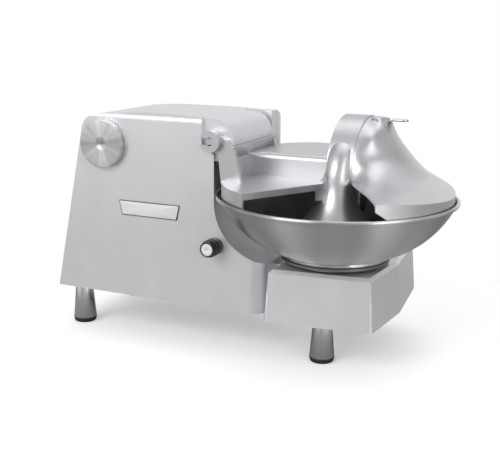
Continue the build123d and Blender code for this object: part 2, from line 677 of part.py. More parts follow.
def housing_side_outline(inset, foot_z):
    """The housing seen from its end: upright front, rounded front edge, large round at the back."""
    front = HOUSING_FRONT + inset
    back = HOUSING_BACK - inset
    top = HOUSING_CROWN_Z - inset
    edge = HOUSING_FRONT_EDGE * 2.0
    arc = HOUSING_BACK_ROUND - inset
    low = (0, front, top - edge)
    bend = (0, front + edge * (1 - cos(radians(45))), top - edge * (1 - sin(radians(45))))
    high = (0, front + edge, top)
    turn_top = (0, back - arc, top)
    turn_mid = (0, back - arc * (1 - cos(radians(45))), top - arc * (1 - sin(radians(45))))
    turn_low = (0, back, top - arc)
    edges = [
        Line((0, front, foot_z), low),
        ThreePointArc(low, bend, high),
        Line(high, turn_top),
        ThreePointArc(turn_top, turn_mid, turn_low),
        Polyline(turn_low, (0, back, foot_z), (0, front, foot_z)),
    ]
    return make_face(Curve() + edges)


def housing_plan(inset, right, back, front_corner, back_corner):
    """Plan of a housing block, with the two right-hand corners rounded."""
    front = HOUSING_FRONT + inset
    far_left = -HOUSING_REACH - 10.0
    plan = make_face(Polyline([
        (far_left, front, 0), (right, front, 0), (right, back, 0), (far_left, back, 0)], close=True))
    right_corners = plan.vertices().group_by(Axis.X)[-1].sort_by(Axis.Y)
    plan = fillet([right_corners[0]], front_corner)
    back_vertex = plan.vertices().filter_by_position(Axis.Y, back - 0.01, back + 0.01).sort_by(Axis.X)[-1]
    return fillet([back_vertex], back_corner)


def housing_form(inset, foot_z):
    """The whole outer form of the housing, or its hollow when inset by the wall."""
    span = HOUSING_REACH + 20.0
    main = along_y(housing_front_outline(inset, foot_z), HOUSING_FRONT + inset, HOUSING_BACK - inset)
    main &= along_x(housing_side_outline(inset, foot_z), -span, 0.0)
    plan = housing_plan(inset, HEAD_X - inset, HOUSING_BACK - inset, 5.0, HOUSING_TAIL_ROUND - inset)
    main &= Pos(0, 0, foot_z) * extrude(plan, HOUSING_CROWN_Z)
    shoulder_corner = SHOULDER_CORNER - inset
    plan = housing_plan(inset, SHOULDER_X - inset, SHOULDER_BACK - inset, shoulder_corner, shoulder_corner)
    shoulder = Pos(0, 0, foot_z) * extrude(plan, SCOOP_TOP_Z - LEG_HEIGHT - HOUSING_TAIL_ROUND)
    shoulder &= block(HEAD_X - 60.0, 0, -300.0, 300.0, foot_z, SCOOP_TOP_Z)
    return main + shoulder - scoop(inset)


HEAD_SLOT_BACK = BARREL_BACK + CHEEK + 1.2


def hinge_slots():
    """The room in front of and behind the barrel for the two hinge cheeks."""
    slots = []
    round_gap = BOSS_RADIUS + 2.5
    far = HEAD_X + 40.0
    top = HOUSING_CROWN_Z + 10.0
    low = HINGE_Z - round_gap - 3.0
    for y0, y1 in ((HOUSING_FRONT - 20.0, BARREL_FRONT), (BARREL_BACK, HEAD_SLOT_BACK)):
        slots.append(rod_y(round_gap, y0, y1, HINGE_X, HINGE_Z))
        slots.append(block(HINGE_X - round_gap, far, y0, y1, HINGE_Z, top))
        slots.append(block(HINGE_X, far, y0, y1, low, HINGE_Z))
    return slots


def make_housing():
    """The housing casting: shell, hinge barrel, scoop for the bowl, hub seat and leg pads."""
    outer = housing_form(0.0, LEG_HEIGHT)
    hollow = housing_form(HOUSING_WALL, LEG_HEIGHT - 1.0)
    head = rod_y(BARREL_RADIUS + HOUSING_WALL, HOUSING_FRONT, HEAD_SLOT_BACK + HOUSING_WALL, HINGE_X, HINGE_Z)
    shell = outer - (hollow - head)
    under_barrel = block(HINGE_X, 0, BARREL_FRONT - 1.0, HEAD_SLOT_BACK, 0, HINGE_Z)
    corner = block(HINGE_X, 0, BARREL_FRONT - 1.0, HEAD_SLOT_BACK, HINGE_Z, HOUSING_CROWN_Z + 5.0)
    barrel = rod_y(BARREL_RADIUS, BARREL_FRONT, BARREL_BACK, HINGE_X, HINGE_Z)
    lift = SCOOP_TOP_Z - 60.0
    shell -= under_barrel & block(HINGE_X, 0, -400.0, 400.0, lift, HINGE_Z)
    shell -= corner
    shell += barrel
    shell -= hinge_slots()
    shell -= rod_y(PIN_RADIUS, BARREL_FRONT, BARREL_BACK, HINGE_X, HINGE_Z)
    web = block(MOTOR_RIGHT_X, MOTOR_RIGHT_X + WEB, SHAFT_Y - 92.0, HOUSING_BACK, SHAFT_Z - 92.0, HOUSING_CROWN_Z)
    web -= rod_x(MOTOR_BELL_HOLE, MOTOR_RIGHT_X, MOTOR_RIGHT_X + WEB, SHAFT_Y, SHAFT_Z)
    web -= round_the_shaft(MOTOR_BOLT_RADIUS + HOLE_GAP, MOTOR_RIGHT_X, MOTOR_RIGHT_X + WEB, MOTOR_BOLT_CIRCLE, 4)
    shell += web & outer
    floor = LEG_HEIGHT + PLATE
    for x, y in leg_places()[:2]:
        wall_y = HOUSING_FRONT if y < 0 else HOUSING_BACK
        low, high = sorted((y + (PAD_REACH if y < 0 else -PAD_REACH), wall_y))
        pad = block(-HOUSING_REACH, x + PAD_REACH, low, high, floor, floor + PAD_HEIGHT)
        shell += pad & outer
        shell -= rod_z(STUD_HOLE, floor, floor + STUD_LENGTH, x, y)
    shell -= rod_y(HUB_OUTER, HOUSING_FRONT - 1.0, HOUSING_FRONT + HOUSING_WALL + 1.0, HUB_X, HUB_Z)
    shell -= rod_x(CARRIER_RADIUS + LOOSE_GAP, CARRIER_FLANGE_X, -150.0, SHAFT_Y, SHAFT_Z)
    shell -= rod_x(WORM_SHAFT_RADIUS + 4.0, SHOULDER_X - HOUSING_WALL - 2.0, SHOULDER_X, WORM_Y, WORM_Z)
    shell -= rod_y(SWITCH_BEZEL_RADIUS - 5.0, HOUSING_FRONT, HOUSING_FRONT + HOUSING_WALL, SWITCH_X, SWITCH_Z)
    shell -= cross_bolts(BOLT_RADIUS + HOLE_GAP, SHOULDER_X - HOUSING_WALL - 1.0, SHOULDER_X)
    shell -= round_the_hub(HUB_SCREW_RADIUS + HOLE_GAP, HOUSING_FRONT + 1.0, HOUSING_FRONT + HOUSING_WALL)
    for x, y in housing_screw_places():
        wall_y = HOUSING_FRONT if y < 0 else HOUSING_BACK
        low, high = sorted((y + (LUG / 2 if y < 0 else -LUG / 2), wall_y))
        shell += block(x - LUG / 2, x + LUG / 2, low, high, floor, floor + LUG) & outer
    return shell - screw_holes(housing_screw_places(), floor, floor + SCREW_LENGTH + 0.5)


def make_housing_bottom_plate():
    """The sheet that closes the housing from below."""
    sheet = housing_form(HOUSING_WALL + LOOSE_GAP, LEG_HEIGHT - 1.0)
    sheet &= block(-HOUSING_REACH, 0, -300.0, 300.0, LEG_HEIGHT, LEG_HEIGHT + PLATE)
    for x, y in leg_places()[:2]:
        sheet -= rod_z(STUD_HOLE, LEG_HEIGHT, LEG_HEIGHT + PLATE, x, y)
    return sheet - screw_holes(housing_screw_places(), LEG_HEIGHT, LEG_HEIGHT + PLATE)


# ================================================================ fasteners
def make_support_bolts():
    """Four bolts from inside the housing into the support's flange."""
    wall = SHOULDER_X - HOUSING_WALL
    heads = cross_bolts(BOLT_HEAD_RADIUS, wall - BOLT_HEAD, wall)
    shanks = cross_bolts(BOLT_RADIUS, wall, SHOULDER_X + BOLT_LENGTH)
    return Compound(children=[head + shank for head, shank in zip(heads, shanks)])


def make_motor_bolts():
    """Four bolts through the web into the motor's right end bell."""
    right = MOTOR_RIGHT_X + WEB
    heads = round_the_shaft(MOTOR_BOLT_RADIUS + 2.5, right, right + 4.0, MOTOR_BOLT_CIRCLE, 4)
    shanks = round_the_shaft(MOTOR_BOLT_RADIUS, MOTOR_RIGHT_X - BELL_THICKNESS + 2.0, right, MOTOR_BOLT_CIRCLE, 4)
    return Compound(children=[head + shank for head, shank in zip(heads, shanks)])


def make_hub_screws():
    """Four screws through the hub's flange into the front panel."""
    flange = HOUSING_FRONT + HOUSING_WALL + HUB_FLANGE
    heads = round_the_hub(HUB_SCREW_RADIUS + 1.3, flange, flange + 2.5)
    shanks = round_the_hub(HUB_SCREW_RADIUS, HOUSING_FRONT + 1.5, flange)
    return Compound(children=[head + shank for head, shank in zip(heads, shanks)])


def make_capacitor_bracket():
    """The bent sheet that carries the capacitor on the bottom plate."""
    middle = MOTOR_LEFT_X + 10.0 + CAPACITOR_LENGTH / 2
    x0 = middle - BRACKET_WIDTH / 2
    x1 = middle + BRACKET_WIDTH / 2
    floor = LEG_HEIGHT + PLATE
    centre_z = LEG_HEIGHT + CAPACITOR_RISE
    ring_out = CAPACITOR_RADIUS + BRACKET_SHEET
    bracket = block(x0, x1, CAPACITOR_Y - BRACKET_SHEET / 2, CAPACITOR_Y + BRACKET_SHEET / 2,
                    floor, centre_z - CAPACITOR_RADIUS - 0.5)
    bracket += block(x0, x1, CAPACITOR_Y - ring_out, CAPACITOR_Y + BRACKET_SHEET / 2, floor, floor + BRACKET_SHEET)
    strap = rod_x(ring_out, x0, x1, CAPACITOR_Y, centre_z)
    return bracket + (strap - rod_x(CAPACITOR_RADIUS, x0, x1, CAPACITOR_Y, centre_z))


# ================================================================ legs
def make_legs():
    """Four tapered stainless legs with their studs."""
    legs = []
    for x, y in leg_places():
        cone = Pos(x, y, FOOT_HEIGHT) * Cone(
            LEG_FOOT_RADIUS, LEG_TOP_RADIUS, LEG_HEIGHT - FOOT_HEIGHT,
            align=(Align.CENTER, Align.CENTER, Align.MIN))
        legs.append(cone + rod_z(STUD_RADIUS, LEG_HEIGHT, LEG_HEIGHT + PLATE + STUD_LENGTH, x, y))
    return Compound(children=legs)


def make_rubber_feet():
    """The rubber tips under the legs."""
    feet = []
    for x, y in leg_places():
        foot = Pos(x, y, 0) * Cone(
            LEG_FOOT_RADIUS - 1.5, LEG_FOOT_RADIUS + 0.5, FOOT_HEIGHT,
            align=(Align.CENTER, Align.CENTER, Align.MIN))
        feet.append(foot)
    return Compound(children=feet)


# ================================================================ knife shaft and knives
def make_knife_shaft():
    """The motor's own shaft, run on to the right to carry the knives."""
    thin = SHAFT_RADIUS - 2.0
    shaft = rod_x(SHAFT_RADIUS, MOTOR_LEFT_X - 22.0, SHAFT_RIGHT_X, SHAFT_Y, SHAFT_Z)
    shaft += rod_x(thin, SHAFT_LEFT_X, MOTOR_LEFT_X, SHAFT_Y, SHAFT_Z)
    flats = block(KNIFE_X, KNIFE_X + KNIFE_SPACING + KNIFE_THICKNESS,
                  SHAFT_Y - SHAFT_RADIUS, SHAFT_Y + SHAFT_RADIUS,
                  SHAFT_Z + SHAFT_RADIUS - KNIFE_FLAT, SHAFT_Z + SHAFT_RADIUS)
    return shaft - flats - mirror(Pos(0, 0, -SHAFT_Z) * flats, Plane.XY).moved(Pos(0, 0, SHAFT_Z))


KNIFE_FLAT = 2.0


def shaft_ring(outer, x0, x1, bore=SHAFT_RADIUS):
    """A ring on the knife shaft."""
    return rod_x(outer, x0, x1, SHAFT_Y, SHAFT_Z) - rod_x(bore, x0, x1, SHAFT_Y, SHAFT_Z)


def make_knife_sleeve():
    """The tube that holds the knives off the bearing nose."""
    return shaft_ring(SLEEVE_RADIUS, CARRIER_NOSE_X + 2.0, KNIFE_X)


def make_knife(x, turn):
    """One curved knife: round hub with a two-flat bore and a sickle blade."""
    tip = (0, 12.0, KNIFE_RADIUS - 2.0)
    edge = ThreePointArc((0, -21.0, -8.0), (0, -53.0, 47.0), tip)
    back = ThreePointArc(tip, (0, -1.0, 54.0), (0, 21.0, 6.0))
    foot = Polyline((0, 21.0, 6.0), (0, 0, 0), (0, -21.0, -8.0))
    blade = extrude(make_face(Curve() + [edge, back, foot]), KNIFE_THICKNESS, dir=(1, 0, 0))
    hub = rod_x(KNIFE_HUB_RADIUS, 0, KNIFE_THICKNESS, 0, 0)
    flat = SHAFT_RADIUS - KNIFE_FLAT
    bore = rod_x(SHAFT_RADIUS, 0, KNIFE_THICKNESS, 0, 0)
    bore &= block(0, KNIFE_THICKNESS, -SHAFT_RADIUS, SHAFT_RADIUS, -flat, flat)
    plain = blade + hub
    return Pos(x, SHAFT_Y, SHAFT_Z) * (Rot(turn, 0, 0) * plain - bore)


def make_knife_nut():
    """The domed hand nut on the shaft's end."""
    start = KNIFE_X + KNIFE_SPACING + KNIFE_THICKNESS
    nut = rod_x(NUT_RADIUS, start, start + NUT_LENGTH / 2, SHAFT_Y, SHAFT_Z)
    nut += rod_x(NUT_RADIUS - 3.0, start, start + NUT_LENGTH, SHAFT_Y, SHAFT_Z)
    for step in range(8):
        turn = radians(45.0 * step)
        notch_y = SHAFT_Y + NUT_RADIUS * cos(turn)
        notch_z = SHAFT_Z + NUT_RADIUS * sin(turn)
        nut -= rod_x(2.4, start, start + NUT_LENGTH / 2, notch_y, notch_z)
    return nut - rod_x(SHAFT_RADIUS, start, SHAFT_RIGHT_X, SHAFT_Y, SHAFT_Z)


def make_shaft_carrier():
    """The flanged nose that carries the shaft through the wall of the scoop."""
    body = rod_x(CARRIER_RADIUS, CARRIER_FLANGE_X, CARRIER_NOSE_X, SHAFT_Y, SHAFT_Z)
    body += rod_x(CARRIER_FLANGE_RADIUS, CARRIER_FLANGE_X, CARRIER_FLANGE_X + CARRIER_FLANGE, SHAFT_Y, SHAFT_Z)
    body -= rod_x(CARRIER_BEARING_RADIUS, CARRIER_FLANGE_X, CARRIER_FLANGE_X + 2 * BEARING_WIDTH, SHAFT_Y, SHAFT_Z)
    return body - rod_x(SHAFT_RADIUS + LOOSE_GAP, CARRIER_FLANGE_X, CARRIER_NOSE_X, SHAFT_Y, SHAFT_Z)


CARRIER_BEARING_RADIUS = 20.0


def make_carrier_bearing():
    """The double bearing in the nose."""
    return shaft_ring(CARRIER_BEARING_RADIUS, CARRIER_FLANGE_X + 2.0,
                      CARRIER_FLANGE_X + 2 * BEARING_WIDTH, SHAFT_RADIUS + RUNNING_GAP)


# ================================================================ motor
def make_motor_frame():
    """The rolled steel frame of the motor."""
    left = MOTOR_LEFT_X + BELL_THICKNESS
    right = MOTOR_RIGHT_X - BELL_THICKNESS
    return shaft_ring(MOTOR_RADIUS, left, right, MOTOR_RADIUS - MOTOR_WALL)


def make_motor_end_bells():
    """The two end bells with their bearing seats."""
    bells = []
    ends = ((MOTOR_LEFT_X, MOTOR_LEFT_X + BELL_THICKNESS), (MOTOR_RIGHT_X - BELL_THICKNESS, MOTOR_RIGHT_X))
    for x0, x1 in ends:
        seat0, seat1 = (x0, x0 + BEARING_WIDTH) if x0 == MOTOR_LEFT_X else (x1 - BEARING_WIDTH, x1)
        bell = shaft_ring(MOTOR_RADIUS, x0, x1, BEARING_RADIUS)
        bell += shaft_ring(BEARING_RADIUS + 5.0, seat0, seat1, BEARING_RADIUS)
        bell -= round_the_shaft(MOTOR_BOLT_RADIUS + HOLE_GAP, MOTOR_RIGHT_X - BELL_THICKNESS + 2.0, MOTOR_RIGHT_X,
                                MOTOR_BOLT_CIRCLE, 4)
        bells.append(bell)
    return Compound(children=bells)


def make_motor_bearings():
    """The motor's two ball bearings."""
    rings = []
    for x0 in (MOTOR_LEFT_X, MOTOR_RIGHT_X - BEARING_WIDTH):
        rings.append(shaft_ring(BEARING_RADIUS, x0, x0 + BEARING_WIDTH, SHAFT_RADIUS + RUNNING_GAP))
    return Compound(children=rings)


STATOR_LEFT_X = MOTOR_LEFT_X + 26.0
STATOR_RIGHT_X = MOTOR_RIGHT_X - 26.0


def make_motor_stator():
    """The stator stack with its slots."""
    ring = shaft_ring(MOTOR_RADIUS - MOTOR_WALL, STATOR_LEFT_X, STATOR_RIGHT_X, STATOR_BORE)
    slots = []
    for step in range(24):
        turn = radians(15.0 * step)
        reach = STATOR_BORE + 6.0
        slots.append(rod_x(3.2, STATOR_LEFT_X, STATOR_RIGHT_X,
                           SHAFT_Y + reach * cos(turn), SHAFT_Z + reach * sin(turn)))
    return ring - slots


def make_motor_rotor():
    """The squirrel cage rotor."""
    core = shaft_ring(STATOR_BORE - AIR_GAP, STATOR_LEFT_X, STATOR_RIGHT_X)
    rings = shaft_ring(STATOR_BORE - 6.0, STATOR_LEFT_X - 6.0, STATOR_RIGHT_X + 6.0, STATOR_BORE - 16.0)
    return core + rings


def make_motor_fan():
    """The cooling fan outside the left end bell."""
    right = MOTOR_LEFT_X - 3.0
    hub = shaft_ring(FAN_RADIUS / 2, right - 4.0, right)
    hub += shaft_ring(SHAFT_RADIUS + 6.0, right - 4.0 - FAN_WIDTH, right)
    blades = []
    for step in range(9):
        turn = Rot(40.0 * step, 0, 0)
        blade = block(right - 4.0 - FAN_WIDTH, right, -1.2, 1.2, SHAFT_RADIUS + 3.0, FAN_RADIUS)
        blades.append(Pos(0, SHAFT_Y, SHAFT_Z) * (turn * blade))
    return hub + blades


def make_run_capacitor():
    """The motor's capacitor, strapped beside the frame."""
    left = MOTOR_LEFT_X + 10.0
    return rod_x(CAPACITOR_RADIUS, left, left + CAPACITOR_LENGTH, CAPACITOR_Y, LEG_HEIGHT + CAPACITOR_RISE)


# ================================================================ attachment drive
HUB_DRIVE_RADIUS = 9.5
HUB_WORM_RADIUS = 13.4
HUB_WHEEL_RADIUS = HUB_Z - SHAFT_Z - HUB_WORM_RADIUS - 0.6
HUB_BACK_Y = 74.0
HUB_WHEEL_FACE = 18.0


def make_hub_worm():
    """The worm's body on the left end of the motor shaft."""
    return shaft_ring(HUB_WORM_RADIUS, HUB_X - HUB_WORM_HALF, HUB_X + HUB_WORM_HALF, SHAFT_RADIUS - 2.0)


def make_hub_worm_wheel():
    """The wheel on the attachment drive shaft."""
    wheel = toothed_wheel(HUB_WHEEL_RADIUS, HUB_WHEEL_FACE, HUB_TEETH, HUB_DRIVE_RADIUS)
    return Pos(HUB_X, SHAFT_Y + HUB_WHEEL_FACE / 2, HUB_Z) * (Rot(90, 0, 0) * wheel)


def make_hub_drive_shaft():
    """The attachment drive shaft, square socket end to the front."""
    front = HOUSING_FRONT + HUB_BORE_LENGTH
    end = SHAFT_Y + HUB_WHEEL_FACE / 2 + 8.0
    shaft = rod_y(HUB_DRIVE_RADIUS, front, end, HUB_X, HUB_Z)
    collar = rod_y(HUB_DRIVE_RADIUS + 6.0, front + 3.0, front + 11.0, HUB_X, HUB_Z)
    socket = Pos(HUB_X, front, HUB_Z) * Rot(-90, 0, 0) * extrude(Rectangle(9.6, 9.6), 20.0)
    return shaft + collar - socket


def make_attachment_hub():
    """The hub casting behind the plug: bore, drive bore and the flange inside the panel."""
    back = HOUSING_FRONT + HUB_BORE_LENGTH
    hub = rod_y(HUB_OUTER, HOUSING_FRONT, back + 20.0, HUB_X, HUB_Z)
    panel = HOUSING_FRONT + HOUSING_WALL
    hub += rod_y(HUB_OUTER + 7.0, panel, panel + HUB_FLANGE, HUB_X, HUB_Z)
    hub -= round_the_hub(HUB_SCREW_RADIUS + HOLE_GAP, panel, panel + HUB_FLANGE)
    hub += rod_y(HUB_DRIVE_RADIUS + 10.0, back, HUB_BACK_Y, HUB_X, HUB_Z)
    hub -= rod_y(HUB_BORE, HOUSING_FRONT, back, HUB_X, HUB_Z)
    hub -= rod_y(HUB_COUNTERBORE, HOUSING_FRONT, HOUSING_FRONT + HUB_COUNTERBORE_DEPTH, HUB_X, HUB_Z)
    hub -= rod_y(HUB_DRIVE_RADIUS + 6.0 + LOOSE_GAP, back, back + 12.0, HUB_X, HUB_Z)
    return hub - rod_y(HUB_DRIVE_RADIUS + RUNNING_GAP, back, HUB_BACK_Y, HUB_X, HUB_Z)


def make_hub_plug():
    """The round plug that closes the attachment hub."""
    face = HOUSING_FRONT - PLUG_THICKNESS
    plug = rod_y(PLUG_RADIUS, face, HOUSING_FRONT, HUB_X, HUB_Z)
    edge = plug.edges().filter_by(GeomType.CIRCLE).sort_by(Axis.Y)[0]
    plug = chamfer(edge, 1.5)
    end = HOUSING_FRONT + PLUG_REGISTER
    return plug + rod_y(HUB_COUNTERBORE - RUNNING_GAP, HOUSING_FRONT, end, HUB_X, HUB_Z)


# ================================================================ front fittings
def make_badge_plate():
    """A bare plate on the front panel."""
    half_top = BADGE_TOP_WIDTH / 2
    half_low = BADGE_BOTTOM_WIDTH / 2
    half_high = BADGE_HEIGHT / 2
    face = polygon_xz([
        (BADGE_X - half_top, BADGE_Z + half_high),
        (BADGE_X + half_top, BADGE_Z + half_high),
        (BADGE_X + half_low, BADGE_Z - half_high),
        (BADGE_X - half_low, BADGE_Z - half_high),
    ])
    return along_y(face, HOUSING_FRONT - BADGE_THICKNESS, HOUSING_FRONT)


def make_switch_bezel():
    """The black collar and the contact body behind the panel."""
    neck = SWITCH_BEZEL_RADIUS - 5.0
    body = rod_y(SWITCH_BEZEL_RADIUS, HOUSING_FRONT - SWITCH_BEZEL, HOUSING_FRONT, SWITCH_X, SWITCH_Z)
    inner = HOUSING_FRONT + HOUSING_WALL
    body += rod_y(neck, HOUSING_FRONT, inner, SWITCH_X, SWITCH_Z)
    body += block(SWITCH_X - 20.0, SWITCH_X + 4.0, inner, inner + 24.0, SWITCH_Z - 16.0, SWITCH_Z + 16.0)
    return body - rod_y(SWITCH_STEM + RUNNING_GAP, HOUSING_FRONT - SWITCH_BEZEL, inner + 22.0, SWITCH_X, SWITCH_Z)


SWITCH_STEM = 8.0
SWITCH_THROW = 8.0


def make_switch_knob():
    """The push-pull knob: round head with a collar and a stem."""
    face = HOUSING_FRONT - SWITCH_REACH
    back = HOUSING_FRONT - SWITCH_BEZEL - LOOSE_GAP
    knob = rod_y(SWITCH_KNOB_RADIUS, face, back, SWITCH_X, SWITCH_Z)
    knob = fillet(knob.edges().filter_by(GeomType.CIRCLE).sort_by(Axis.Y)[0], 2.5)
    knob += rod_y(SWITCH_KNOB_RADIUS + 2.0, back - 12.0, back - 4.0, SWITCH_X, SWITCH_Z)
    return knob + rod_y(SWITCH_STEM, back, HOUSING_FRONT + HOUSING_WALL + 10.0, SWITCH_X, SWITCH_Z)


def make_hinge_pin():
    """The pin through the barrel, with two flats at its front end."""
    front = BARREL_FRONT - CHEEK - BOSS_PROUD + 2.0
    pin = rod_y(PIN_RADIUS, front, BARREL_BACK + CHEEK, HINGE_X, HINGE_Z)
    high = block(HINGE_X - 20.0, HINGE_X + 20.0, front, BARREL_FRONT - LOOSE_GAP, HINGE_Z + PIN_FLAT, HINGE_Z + 20.0)
    low = block(HINGE_X - 20.0, HINGE_X + 20.0, front, BARREL_FRONT - LOOSE_GAP, HINGE_Z - 20.0, HINGE_Z - PIN_FLAT)
    return pin - high - low


# ================================================================ cover
def wedge(start, end, left_shift=0.0, right_shift=0.0, low=250.0, high=520.0):
    """A wedge about the bowl axis from one azimuth on to another, its faces moved outwards."""
    reach = 600.0
    first = radians(start)
    last = radians(end)
    shift_first = (sin(first) * left_shift, -cos(first) * left_shift)
    shift_last = (-sin(last) * right_shift, cos(last) * right_shift)
    points = [
        shift_first,
        (shift_first[0] + reach * cos(first), shift_first[1] + reach * sin(first)),
        (reach * cos((first + last) / 2) * 1.6, reach * sin((first + last) / 2) * 1.6),
        (shift_last[0] + reach * cos(last), shift_last[1] + reach * sin(last)),
        shift_last,
    ]
    if shift_first == shift_last:
        points = points[:-1]
    face = make_face(Polyline([(x, y, low) for x, y in points], close=True))
    return extrude(face, high - low, dir=(0, 0, 1))


def cape_level(row, inset):
    """One level line of the cape as a face."""
    height = SHAFT_Z + row[0] - inset
    points = []
    for turn, reach in zip(CAPE_ANGLES, row[1:]):
        angle = radians(turn)
        span = reach - inset
        points.append((HOOD_RIGHT_X - inset + span * cos(angle), SHAFT_Y + span * sin(angle), height))
    skin = Spline(*points)
    return make_face(Curve() + [skin, Line(points[-1], points[0])])


def bell_form(inset):
    """The bell over the middle of the bowl, with its neck leaning back into the hood."""
    return loft([Pos(0, back, SHAFT_Z + rise) * Circle(radius - inset) for rise, back, radius in BELL_CIRCLES])


def right_side(low, high, shift):
    """Everything to the right of the feed opening's right edge, that edge moved forward by a shift."""
    turn = radians(FEED_RIGHT_ANGLE)
    reach = 700.0
    side = (sin(turn) * shift, -cos(turn) * shift)
    foot = (HOOD_RIGHT_X - 8.0, FEED_RIGHT_FOOT_Y - 8.0 * sin(turn) / cos(turn))
    points = [
        (foot[0] + side[0], foot[1] + side[1]),
        (foot[0] + side[0] + reach * cos(turn), foot[1] + side[1] + reach * sin(turn)),
        (reach, reach * sin(turn)),
        (reach, reach),
        (foot[0] + side[0], reach),
    ]
    face = make_face(Polyline([(x, y, low) for x, y in points], close=True))
    return extrude(face, high - low, dir=(0, 0, 1))


def cover_form(inset):
    """Everything the cover's skin wraps: wings, tunnel, hood and cape."""
    radius = COVER_RADIUS - inset
    low = SKIRT_Z if inset == 0.0 else SKIRT_Z - 5.0
    gap = -inset
    left_lid = rod_z(radius, low, LID_Z - inset)
    left_lid &= wedge(90.0, FEED_LEFT_ANGLE, 0.0, gap)
    tunnel = block(-COVER_RADIUS, HOOD_LEFT_X, TUNNEL_FRONT_Y + inset, SHAFT_Y + TUNNEL_HALF - inset,
                   low, TUNNEL_Z - inset)
    upper = tunnel.edges().filter_by(Axis.X).group_by(Axis.Z)[-1]
    tunnel = fillet(upper, TUNNEL_ROUND - inset)
    tunnel &= rod_z(radius, low, TUNNEL_Z)
    hood = rod_x(HOOD_RADIUS - inset, HOOD_LEFT_X + inset, HOOD_RIGHT_X - inset, SHAFT_Y, SHAFT_Z)
    hood &= block(HOOD_LEFT_X, HOOD_RIGHT_X, -200.0, 400.0, SHAFT_Z, 600.0)
    reach = HOOD_RADIUS - inset
    hood += block(HOOD_LEFT_X + inset, HOOD_RIGHT_X - inset, SHAFT_Y - reach, SHAFT_Y + reach, low, SHAFT_Z)
    hood &= rod_z(radius, low, HOUSING_CROWN_Z + 20.0)
    side = right_side(low, HOUSING_CROWN_Z + 40.0, inset)
    wing = rod_z(radius, low, RIGHT_FOLD_Z - inset) & side
    cape = loft([cape_level(row, inset) for row in CAPE_LEVELS])
    cape &= rod_z(radius, RIGHT_FOLD_Z - 30.0, HOUSING_CROWN_Z + 40.0)
    cape &= side
    form = left_lid + wing + tunnel + hood + cape
    clear = HEAD_CLEAR + inset
    behind = rod_y(clear, BARREL_BACK, HOUSING_BACK + 30.0, HINGE_X, HINGE_Z)
    barrel = rod_y(BARREL_RADIUS + APRON_GAP + (APRON_WALL if inset else 0.0),
                   BARREL_FRONT - 20.0, BARREL_BACK + 1.0, HINGE_X, HINGE_Z)
    return form - behind - barrel


def coves():
    """The hollow roundings left of the column: along the tunnel's top, and round the bell over the wing."""
    sink = 0.4
    edge = HOOD_LEFT_X - COVE
    room = 2 * COVE
    along = block(edge, HOOD_LEFT_X + 1.0, TUNNEL_FRONT_Y + TUNNEL_ROUND, SHAFT_Y + 80.0, TUNNEL_Z - 1.0, TUNNEL_Z + COVE)
    along -= rod_y(COVE, 0.0, HOUSING_BACK, edge, TUNNEL_Z + COVE - sink)
    neck = COVE_NECK
    ring_r = neck + COVE
    outline = Curve() + [
        Polyline((ring_r, 0, LID_Z - sink), (neck - sink, 0, LID_Z - sink),
                 (neck - sink, 0, LID_Z + COVE)),
        ThreePointArc((neck - sink, 0, LID_Z + COVE),
                      (ring_r - COVE * sin(radians(45)), 0, LID_Z + COVE * (1 - sin(radians(45)))),
                      (ring_r, 0, LID_Z - sink)),
    ]
    ring = revolve(make_face(outline), Axis.Z) & wedge(170.0, FEED_LEFT_ANGLE - 0.5)
    ring &= block(-room, 0, -room, TUNNEL_FRONT_Y + 1.0, LID_Z - room, LID_Z + room)
    return along + ring


def skirt_notch():
    """The slanting cut at the front end of the right wing's skirt."""
    turn = SKIRT_CUT_ANGLE + 90.0
    face = polygon_xz([
        (-40.0, SKIRT_Z - 8.0),
        (SKIRT_CUT_HALF, SKIRT_Z - 8.0),
        (SKIRT_CUT_HALF, SKIRT_Z),
        (-SKIRT_CUT_HALF, LID_Z - LIP_DROP),
        (-40.0, LID_Z - LIP_DROP),
    ])
    return Rot(0, 0, turn) * along_y(face, -COVER_RADIUS - 20.0, -COVER_RADIUS + 40.0)


SKIRT_CUT_ANGLE = -50.0
SKIRT_CUT_HALF = 15.0
HEAD_CLEAR = 54.0


def hinge_arm(y0, y1):
    """One cheek: a plate from the pin down to the wing."""
    face = polygon_xz([
        (HINGE_X + 12.0, HINGE_Z - BOSS_RADIUS + 3.0),
        (HINGE_X + BOSS_RADIUS - 2.0, LID_Z - 6.0),
        (HINGE_X + 62.0, LID_Z - 6.0),
        (HINGE_X + 44.0, HINGE_Z - 14.0),
        (HINGE_X + 30.0, HINGE_Z + 2.0),
        (HINGE_X + BOSS_RADIUS - 6.0, HINGE_Z + 12.0),
    ])
    arm = along_y(face, y0, y1) + rod_y(BOSS_RADIUS, y0, y1, HINGE_X, HINGE_Z)
    return arm


